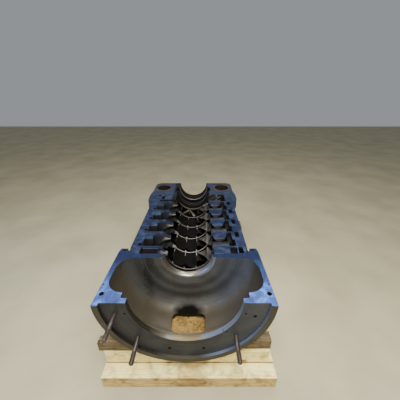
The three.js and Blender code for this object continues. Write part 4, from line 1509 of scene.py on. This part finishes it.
    def across(self, section: Sequence[Point2], reach: Span, y: float) -> Shape:
        """A prism that runs across the casing, from a section of (back, z) points."""
        return swept([DATUM.at(reach[0], y + back, z) for back, z in section],
                     Vector(((reach[1] - reach[0]) * MM, 0, 0)))

    def hump_shape(self, y: float) -> Shape:
        """The rounded vane on the left, narrowing to a tongue at the bore.

        Args:
            y: where the wall is.

        Returns:
            The closed shape.
        """
        sections = []
        for i in range(self.cuts + 1):
            x, back, z, half_wide, half_thick = between(self.hump, i / self.cuts)
            ahead = between(self.hump, i / self.cuts + 0.02)
            behind = between(self.hump, i / self.cuts - 0.02)
            run = Vector((ahead[0] - behind[0], 0, ahead[2] - behind[2])).normalized()
            up = Vector((run.z, 0, -run.x))
            if up.z < 0:
                up = -up
            turns = [math.tau * j / self.hump_points for j in range(self.hump_points)]
            sections.append([DATUM.at(x, y + back + half_wide * math.cos(t), z)
                             + up * (half_thick * math.sin(t)) * MM for t in turns])
        return loft(sections)

    def guide_shape(self, y: float) -> Shape:
        """The broad blade that winds forward and to the right from a wall, flush with the bore.

        Args:
            y: where the wall is.

        Returns:
            The closed shape.
        """
        def place(u: float, v: float) -> Vector:
            """Lays out the blade, hollow at its root, flat further up and flared at its top.

            Args:
                u: share of the way up.
                v: share of the way back.

            Returns:
                The frame point.
            """
            angle, front, rear = between(self.guide, u)
            flat, flare = ramped(angle, *self.guide_flat), self.guide_flare * ramped(angle, *self.guide_lean)
            hollow = (9 * v * v + 4 * math.sin(math.pi * v)) * (1 - flat)
            back = max(y + front + (rear - front) * v, self.guide_front + 4 * v)
            return DATUM.on_ring(self.bore + 1 - 2.5 * flat + hollow + flare, angle, back, -2.5)
        return curved_plate(place, 36, 10, 3.0)

    def chevron_shape(self, y: float, path: Sequence[Row]) -> Shape:
        """One leg of a chevron: a plate on edge along a winding path.

        Args:
            y: where the wall is.
            path: the leg's rows.

        Returns:
            The closed shape.
        """
        def place(u: float, v: float) -> Vector:
            """A point of the leg at its shares along and away from the bore."""
            angle, back, reach = between(path, u)
            return DATUM.on_ring(self.bore - 1.5 + reach * v, angle + 7 * v, y + back + (6 + 26 * u) * v)
        return curved_plate(place, 16, 4, 8.0)

    def build_fill(self) -> None:
        """The smooth band that closes the gap behind the bore lip on the right."""
        def place(u: float, v: float) -> Vector:
            """A point of the band at its shares round and back."""
            angle, back = self.band_turn[0] + self.band_turn[1] * u, self.band_back[0] + self.band_back[1] * v
            return DATUM.on_ring(self.bore + 4, angle, back)
        piece = as_object("first_gap_band", curved_plate(place, 24, 2, 4.0), Look.RAMP)
        finish_piece(piece, "stage_iron", edge_mm=0.5)

    def build_liner(self, number: int) -> None:
        """The smooth liner plates, ribs and tabs between two walls.

        Args:
            number: the rear one of the walls.
        """
        y, y0 = self.wall_at(number), self.wall_at(number - 1)

        def liner(radius: float, turn: Point2, start: float, u: float, v: float) -> Vector:
            """A point of either plate, between where it starts and the wall behind it."""
            return DATUM.on_ring(radius, turn[0] + turn[1] * u, start + (y - self.liner_end - start) * v)

        def left(u: float, v: float) -> Vector:
            """A point of the left plate at its shares round and back."""
            radius = self.left_radius[0] + self.left_radius[1] * math.sin(math.pi * u)
            return liner(radius, self.left_turn, y0 + self.left_start[0] + self.left_start[1] * u * u, u, v)

        def middle(u: float, v: float) -> Vector:
            """Lays out the middle plate, which turns away from the bore at its right.

            Args:
                u: share of the way round.
                v: share of the way back.

            Returns:
                The frame point.
            """
            radius = self.middle_radius + max(u - self.middle_bend, 0) * self.bend_slope
            start = y0 + self.middle_start[0] + self.middle_start[1] * (1 - u) ** 2
            return liner(radius, self.middle_turn, start, u, v)

        for side, place, look in (("left", left, Look.LINER_LEFT), ("middle", middle, Look.LINER_MIDDLE)):
            piece = as_object(f"liner_{number}_{side}", curved_plate(place, 20, 10, 2.5), look)
            finish_piece(piece, "stage_iron", edge_mm=0.5)
        ribs, tabs = [], []
        for x, z in (around(self.bore + 5, angle) for angle in self.rib_angles):
            ribs.append(block((x - 1.3, x + 1.3, y0 + 40, y - 30, z - 9, z + 1.5)))
            tabs.append(block((x - 3.0, x + 3.0, y0 + 3, y0 + 26, z - 12, z + 5)))
            tabs.append(block((x - 2.2, x + 2.2, y - 44, y - 4, z - 12, z + 4)))
        for kind, shapes, look, edge in (("ribs", ribs, Look.LINER_RIB, 0.4),
                                         ("tabs", tabs, Look.VANE_EDGE, 0.5)):
            piece = as_object(f"liner_{number}_{kind}", merged(shapes), look)
            finish_piece(piece, "stage_iron", edge_mm=edge)


@dataclass
class StageShell:
    """The split flanges and the barrel along the stages, widening into the rear lobes."""

    front: float = 430.3
    back: float = 1589.7
    inner: float = 352.3
    seam: float = 0.5
    depth: float = 70.0
    barrel: float = 392.0
    edge: Sequence[Point2] = ((420, 430.3), (420, 492), (430, 492), (430, 1200), (448, 1240), (470, 1290),
                              (482, 1350), (485, 1430), (482, 1510), (472, 1570), (470, 1589.7))
    right_backs: Row = (468, 670, 870, 1071, 1250)
    right_pocket: Limits = (362, 396, -34, 34, -60, 10)
    left_backs: Row = (538, 740, 935, 1130, 1450)
    left_pocket: Limits = (-373, -357, -16, 16, -60, 10)
    left_round: Row = (13, -372, -25, 70)  # radius, x, z and length of the round end on a left pocket

    def build(self) -> None:
        """Builds flanges and barrel as one casting and cuts its pockets."""
        shell = [(self.inner, self.front), (self.barrel, self.front), (self.barrel, self.back),
                 (self.inner, self.back)]
        piece = as_object("stage_shell", half_ring(shell), Look.CASTING)
        seam = self.inner + self.seam
        outline = [(seam, self.front), *self.edge, (seam, self.back)]
        combine(piece, Join.ADD, both_sides(outline, self.depth), Look.CASTING)
        combine(piece, Join.CUT, self.pockets(), Look.DARK_BORE)
        finish_piece(
            piece, "split_face_iron", ["rear_split_flange_left", "rear_split_flange_right", "stage_barrel"],
            [Zone(Look.PASSAGE, radius=(0, self.inner + 2)), split_face(Look.STAGE_FACE)], 1.2)

    def pockets(self) -> list[Shape]:
        """Shapes the bolt pockets in the flanges.

        Returns:
            The shapes that cut them.
        """
        cutters = [block(self.right_pocket, y) for y in self.right_backs]
        radius, x, z, length = self.left_round
        for y in self.left_backs:
            cutters += [block(self.left_pocket, y), rod(radius, DATUM.at(x, y, z), length, Axis.UP, 24)]
        return cutters


@dataclass
class SealEnd:
    """The seal carrier and rings behind the last stage."""

    front: float = 1494.3
    back: float = 1589.7
    bore: float = 190.0
    outer: float = 351.7
    ring_inner: float = 160.0
    groove: float = 178.0
    inset: float = 6.0
    tooth: float = 8.0
    teeth: Point2 = (28.0, 16.0)  # the second tooth from the front, and the last from the back

    def build(self) -> None:
        """Builds the carrier and the grooved ring in it."""
        profile = [(self.bore, self.front), (self.outer, self.front), (self.outer, self.back),
                   (self.bore, self.back)]
        carrier = as_object("seal_carrier", half_ring(profile), Look.CASTING)
        finish_piece(carrier, "split_face_iron", ["seal_carrier"], [split_face(Look.STAGE_FACE)], 1.0)
        front, back, out = self.front + self.inset, self.back - self.inset, self.bore - JOINT
        inner, deep = self.ring_inner, self.groove
        profile = [(inner, front), (out, front), (out, back), (deep, back)]
        for start in (back - self.teeth[1], front + self.teeth[0]):
            end = start + self.tooth
            profile += [(deep, end), (inner, end), (inner, start), (deep, start)]
        profile += [(deep, front + self.tooth), (inner, front + self.tooth)]
        ring = as_object("seal_ring", half_ring(profile), Look.DARK_BORE)
        rubbed_and_lit = Zone(Look.BRIGHT, radius=(0, inner + 1), back=(self.front + 20, math.inf))
        finish_piece(ring, "turned_iron", ["seal_ring"], [rubbed_and_lit], 0.8)


@dataclass
class RearHousing:
    """The rear end with its two round pockets."""

    front: float = 1590.0
    back: float = 1850.0
    half: Sequence[Point2] = ((470, 0), (470, -150), (445, -205), (400, -262), (330, -320), (262, -356),
                              (190, -382), (100, -396), (0, -400))
    wide: float = 470.0
    corner: float = 70.0
    recess: float = 1702.0
    recess_radius: float = 205.0
    bore: float = 165.0
    bore_reach: Point2 = (1720.0, 280.0)  # middle and length of the shape that cuts it
    # the thin bored edge at the shaft opening: radius, back from the recess
    edge: Sequence[Point2] = ((163, 2), (168, -2), (172, -2), (170, 8), (163, 8))
    pockets: Sequence[Row] = ((-362, 1700, 80), (348, 1705, 84))  # x, back, radius
    boss_rim: float = 28.0
    seat: Point2 = (6.0, 20.0)  # height of its cutter's middle, and its length
    well: Point2 = (-60.0, 140.0)  # the same

    def build(self) -> None:
        """Builds the housing, rounds its rear corners, bores it and sinks its pockets."""
        section = [*self.half, *((-x, z) for x, z in self.half[-2::-1])]
        corner_x, corner_y = self.wide - self.corner, self.back - self.corner
        plan = [(-self.wide, self.front - 1), (self.wide, self.front - 1),
                *quarter(corner_x, corner_y, self.corner, 0, 8),
                *quarter(-corner_x, corner_y, self.corner, 90, 8)]
        start = self.front - 5
        hollows = [rod(self.recess_radius, DATUM.at(0, (start + self.recess) / 2, 0), self.recess - start,
                       Axis.BACK, 128),
                   rod(self.bore, DATUM.at(0, self.bore_reach[0], 0), self.bore_reach[1], Axis.BACK, 128)]
        rim = half_ring([(radius, self.recess + back) for radius, back in self.edge])
        seats = [rod(r + self.boss_rim, DATUM.at(x, y, self.seat[0]), self.seat[1], Axis.UP, 72)
                 for x, y, r in self.pockets]
        wells = [rod(r, DATUM.at(x, y, self.well[0]), self.well[1], Axis.UP, 64) for x, y, r in self.pockets]
        piece = as_object("rear_housing", bar(section, self.front, self.back), Look.HOUSING)
        for how, shapes, look in ((Join.SHARE, [slab(plan, -450, 10)], Look.HOUSING),
                                  (Join.CUT, hollows, Look.DARK_BORE), (Join.ADD, [rim], Look.VANE_EDGE),
                                  (Join.CUT, seats, Look.HOUSING), (Join.CUT, wells, Look.RUSTY)):
            combine(piece, how, shapes, look)
        finish_piece(piece, "rusty_iron", ["rear_housing"], [split_face(Look.STAGE_FACE)], 1.5)


@dataclass
class Studs:
    """Three studs standing out of the ring face."""

    circle: float = 403.0
    angles: Row = (-77, -45, 47)
    radius: float = 13.5
    front: float = -130.0
    back: float = 38.0
    thread_mm: float = 3.5
    thread_depth: float = 1.6
    threaded: float = 60.0
    chamfer: float = 2.0
    relief: float = 0.6
    sides: int = 28

    def build(self) -> None:
        """Turns each stud with a threaded tip and a plain shank."""
        for number, angle in enumerate(self.angles, 1):
            piece = as_object(f"stud_{number}", self.turned(*around(self.circle, angle)), Look.STUD)
            finish_piece(piece, "stud_steel", [f"front_stud_{number}"], edge_mm=0.0)

    def turned(self, x: float, z: float) -> Shape:
        """Spins a stud's outline about its own axis.

        Args:
            x: right of the machine axis.
            z: height above the split face.

        Returns:
            The closed shape.
        """
        y = self.front + self.chamfer
        outline: list[Point2] = [(0.0, self.front), (self.radius - 3, self.front), (self.radius - 1.2, y)]
        while y < self.front + self.threaded:
            outline.append((self.radius, y + self.thread_mm / 2))
            outline.append((self.radius - self.thread_depth, y + self.thread_mm))
            y += self.thread_mm
        shank = self.radius - self.relief
        outline += [(shank, y + 3), (shank, self.back), (0.0, self.back)]
        shape = bmesh.new()
        corners = [shape.verts.new(DATUM.at(x + r, back, z)) for r, back in outline]
        edges = [shape.edges.new(pair) for pair in zip(corners, corners[1:])]
        bmesh.ops.spin(shape, geom=corners + edges, cent=DATUM.at(x, 0, z), axis=(0, 1, 0), angle=math.tau,
                       steps=self.sides, use_merge=True)
        bmesh.ops.remove_doubles(shape, verts=shape.verts, dist=0.00001)
        bmesh.ops.recalc_face_normals(shape, faces=shape.faces)
        return shape


@dataclass
class Timbers:
    """The beams, planks and chocks that carry the casing."""

    round_radius: float = 500.3
    round_reach: Point2 = (120.0, 240.0)  # middle and length of the round that the chocks fit
    gap: Row = (1400.0, 5.0, 14.0)  # x, y and z of the joint between plank and beam
    far_end: float = 0.2  # corners further than this from the middle are at an end
    wear_most: float = 0.004
    soft_edge: float = 3.0
    looks: dict[str, tuple[str, Look]] = field(default_factory=lambda: {
        "front_floor_beam": ("new_pine", Look.NEW_PINE),
        "front_plank": ("new_pine", Look.NEW_PINE),
        "chock_left": ("old_wood", Look.OLD_WOOD),
        "chock_right": ("old_wood", Look.OLD_WOOD),
        "second_plank": ("old_wood", Look.SHADE_PINE),
        "second_floor_beam": ("old_wood", Look.OLD_WOOD),
        "rear_floor_beam": ("old_wood", Look.OLD_WOOD),
        "rear_middle_beam": ("old_wood", Look.OLD_WOOD),
        "rear_top_beam": ("new_pine", Look.NEW_PINE),
    })

    def build(self) -> None:
        """Builds each timber to its frame size, a little worn."""
        draw = random.Random(7)
        for node, (slot, look) in self.looks.items():
            low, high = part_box(node)
            piece = as_object(f"timber_{node}", cube((low + high) / 2, high - low), look)
            if node.startswith("chock"):
                middle, length = self.round_reach
                shell = rod(self.round_radius, DATUM.at(0, middle, 0), length, Axis.BACK, 192)
                combine(piece, Join.CUT, [shell])
            zones = []
            if node == "front_floor_beam":
                # a groove along the plank's front edge, painted dark as its shadow and dirt
                combine(piece, Join.CUT, [self.joint_line(high)], Look.JOINT_DIRT)
                # the beam's front faces take the wood with painted shade
                zones = [Zone(Look.PINE_FACE, points_back=(-math.inf, -0.7))]
            self.wear(piece, draw)
            finish_piece(piece, slot, [node], zones, self.soft_edge)

    def joint_line(self, top: Vector) -> Shape:
        """The gap where the plank's front edge meets the floor beam, whose top is given, painted dark for the
        plank's shadow and dirt.
        """
        size = Vector(self.gap) * MM
        return cube(Vector((0.0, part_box("front_plank")[0].y - size.y / 2, top.z)), size)

    def wear(self, piece: Piece, draw: random.Random) -> None:
        """Nudges a timber's end corners inwards, as sawn ends are never quite square.

        Args:
            piece: the timber.
            draw: the seeded source of chance.
        """
        middle = sum((v.co for v in piece.data.vertices), Vector()) / len(piece.data.vertices)
        for vertex in piece.data.vertices:
            if abs(vertex.co.x - middle.x) > self.far_end:
                vertex.co.x -= math.copysign(draw.uniform(0.0, self.wear_most), vertex.co.x - middle.x)


# Floor, light and camera

FLOOR_HALF = 14.0


def build_floor() -> None:
    """Lays the plain pale floor."""
    shape = bmesh.new()
    bmesh.ops.create_grid(shape, x_segments=1, y_segments=1, size=FLOOR_HALF)
    floor = as_object("floor", shape, Look.FLOOR)


@dataclass(frozen=True)
class Lamp:
    """A soft square light, in metres and watts."""

    name: str
    place: Row
    aim: Row
    size: float
    power: float
    colour: str
    spread: float = 180.0  # degrees that its beam opens to

    def build(self) -> None:
        """Hangs the light and turns it to its aim."""
        lamp = bpy.data.lights.new(self.name, "AREA")
        lamp.size = self.size
        lamp.energy = self.power
        lamp.color = linear(self.colour)[:3]
        lamp.spread = math.radians(self.spread)
        holder = bpy.data.objects.new(self.name, lamp)
        holder.location = self.place
        holder.rotation_euler = (Vector(self.aim) - Vector(self.place)).to_track_quat("-Z", "Y").to_euler()
        bpy.context.scene.collection.objects.link(holder)


@dataclass(frozen=True)
class Room:
    """A pale room lit by soft daylight from the front and roof lamps aimed at the ring end."""

    sky: str = "#dfe5ec"
    sky_strength: float = 0.4
    roof_place: Point2 = (1.35, 3.7)  # back and up
    roof_aim: Row = (0.3, -0.75, 0.5)  # share of a lamp's own x, back and up
    roof_size: float = 0.7
    roof_spread: float = 50.0
    # roof lamps in a row: x, power, colour
    roof: Sequence[tuple[float, float, str]] = ((-2.0, 2.6, "#bcd8ff"), (-1.0, 3.2, "#ffd894"),
                                                (0.65, 3.2, "#ffd894"), (1.65, 4.5, "#bcd8ff"))
    lamps: Sequence[Lamp] = (
        Lamp("front_daylight", (0.4, -2.4, 4.2), (0, -0.9, 0.3), 2.4, 360, "#fbfaf6"),
        Lamp("overhead", (0.2, -0.4, 4.4), (0, 0.0, 0.4), 3.2, 110, "#fff6e8"),
        Lamp("side_window", (-3.2, -1.2, 2.2), (0.3, -0.6, 0.4), 2.0, 45, "#b4ceff"))

    def build(self) -> None:
        """Lights the room."""
        world = bpy.data.worlds.new("pale_room")
        world.use_nodes = True
        background = world.node_tree.nodes["Background"]
        background.inputs["Color"].default_value = linear(self.sky)
        background.inputs["Strength"].default_value = self.sky_strength
        bpy.context.scene.world = world
        roof = [Lamp(f"roof_lamp_{number}", (x, *self.roof_place), (x * self.roof_aim[0], *self.roof_aim[1:]),
                     self.roof_size, power, colour, self.roof_spread)
                for number, (x, power, colour) in enumerate(self.roof, 1)]
        for lamp in (*roof, *self.lamps):
            lamp.build()


@dataclass(frozen=True)
class PhotoCamera:
    """The photograph's viewpoint, worked out from the ring's half circle and the flange edges."""

    right: float = 82.0
    before_rim: float = 804.0
    above_split: float = 993.0
    pitch_down: float = 24.96
    focal_px: float = 217.0
    frame_px: float = 400.0
    sensor_mm: float = 36.0
    clip_end: float = 60.0

    def build(self) -> None:
        """Places the camera."""
        data = bpy.data.cameras.new("photo_camera")
        data.sensor_fit = "HORIZONTAL"
        data.sensor_width = self.sensor_mm
        data.lens = self.focal_px / self.frame_px * self.sensor_mm
        data.clip_end = self.clip_end
        camera = bpy.data.objects.new("photo_camera", data)
        camera.location = DATUM.at(self.right, -self.before_rim, self.above_split)
        camera.rotation_euler = (math.radians(90 - self.pitch_down), 0.0, 0.0)
        bpy.context.scene.collection.objects.link(camera)
        bpy.context.scene.camera = camera


def main() -> None:
    """Builds every sub-assembly in order."""
    logging.basicConfig(level=logging.INFO, format="%(message)s")
    EndCasting().build()
    BoreLip().build()
    stages = StageSection()
    for number in range(stages.count):
        stages.build_stage(number)
    stages.build_fill()
    for number in stages.liner_stages:
        stages.build_liner(number)
    for part in (StageShell(), SealEnd(), RearHousing(), Studs(), Timbers()):
        part.build()
    build_floor()
    Room().build()
    PhotoCamera().build()


if __name__ == "__main__":
    main()
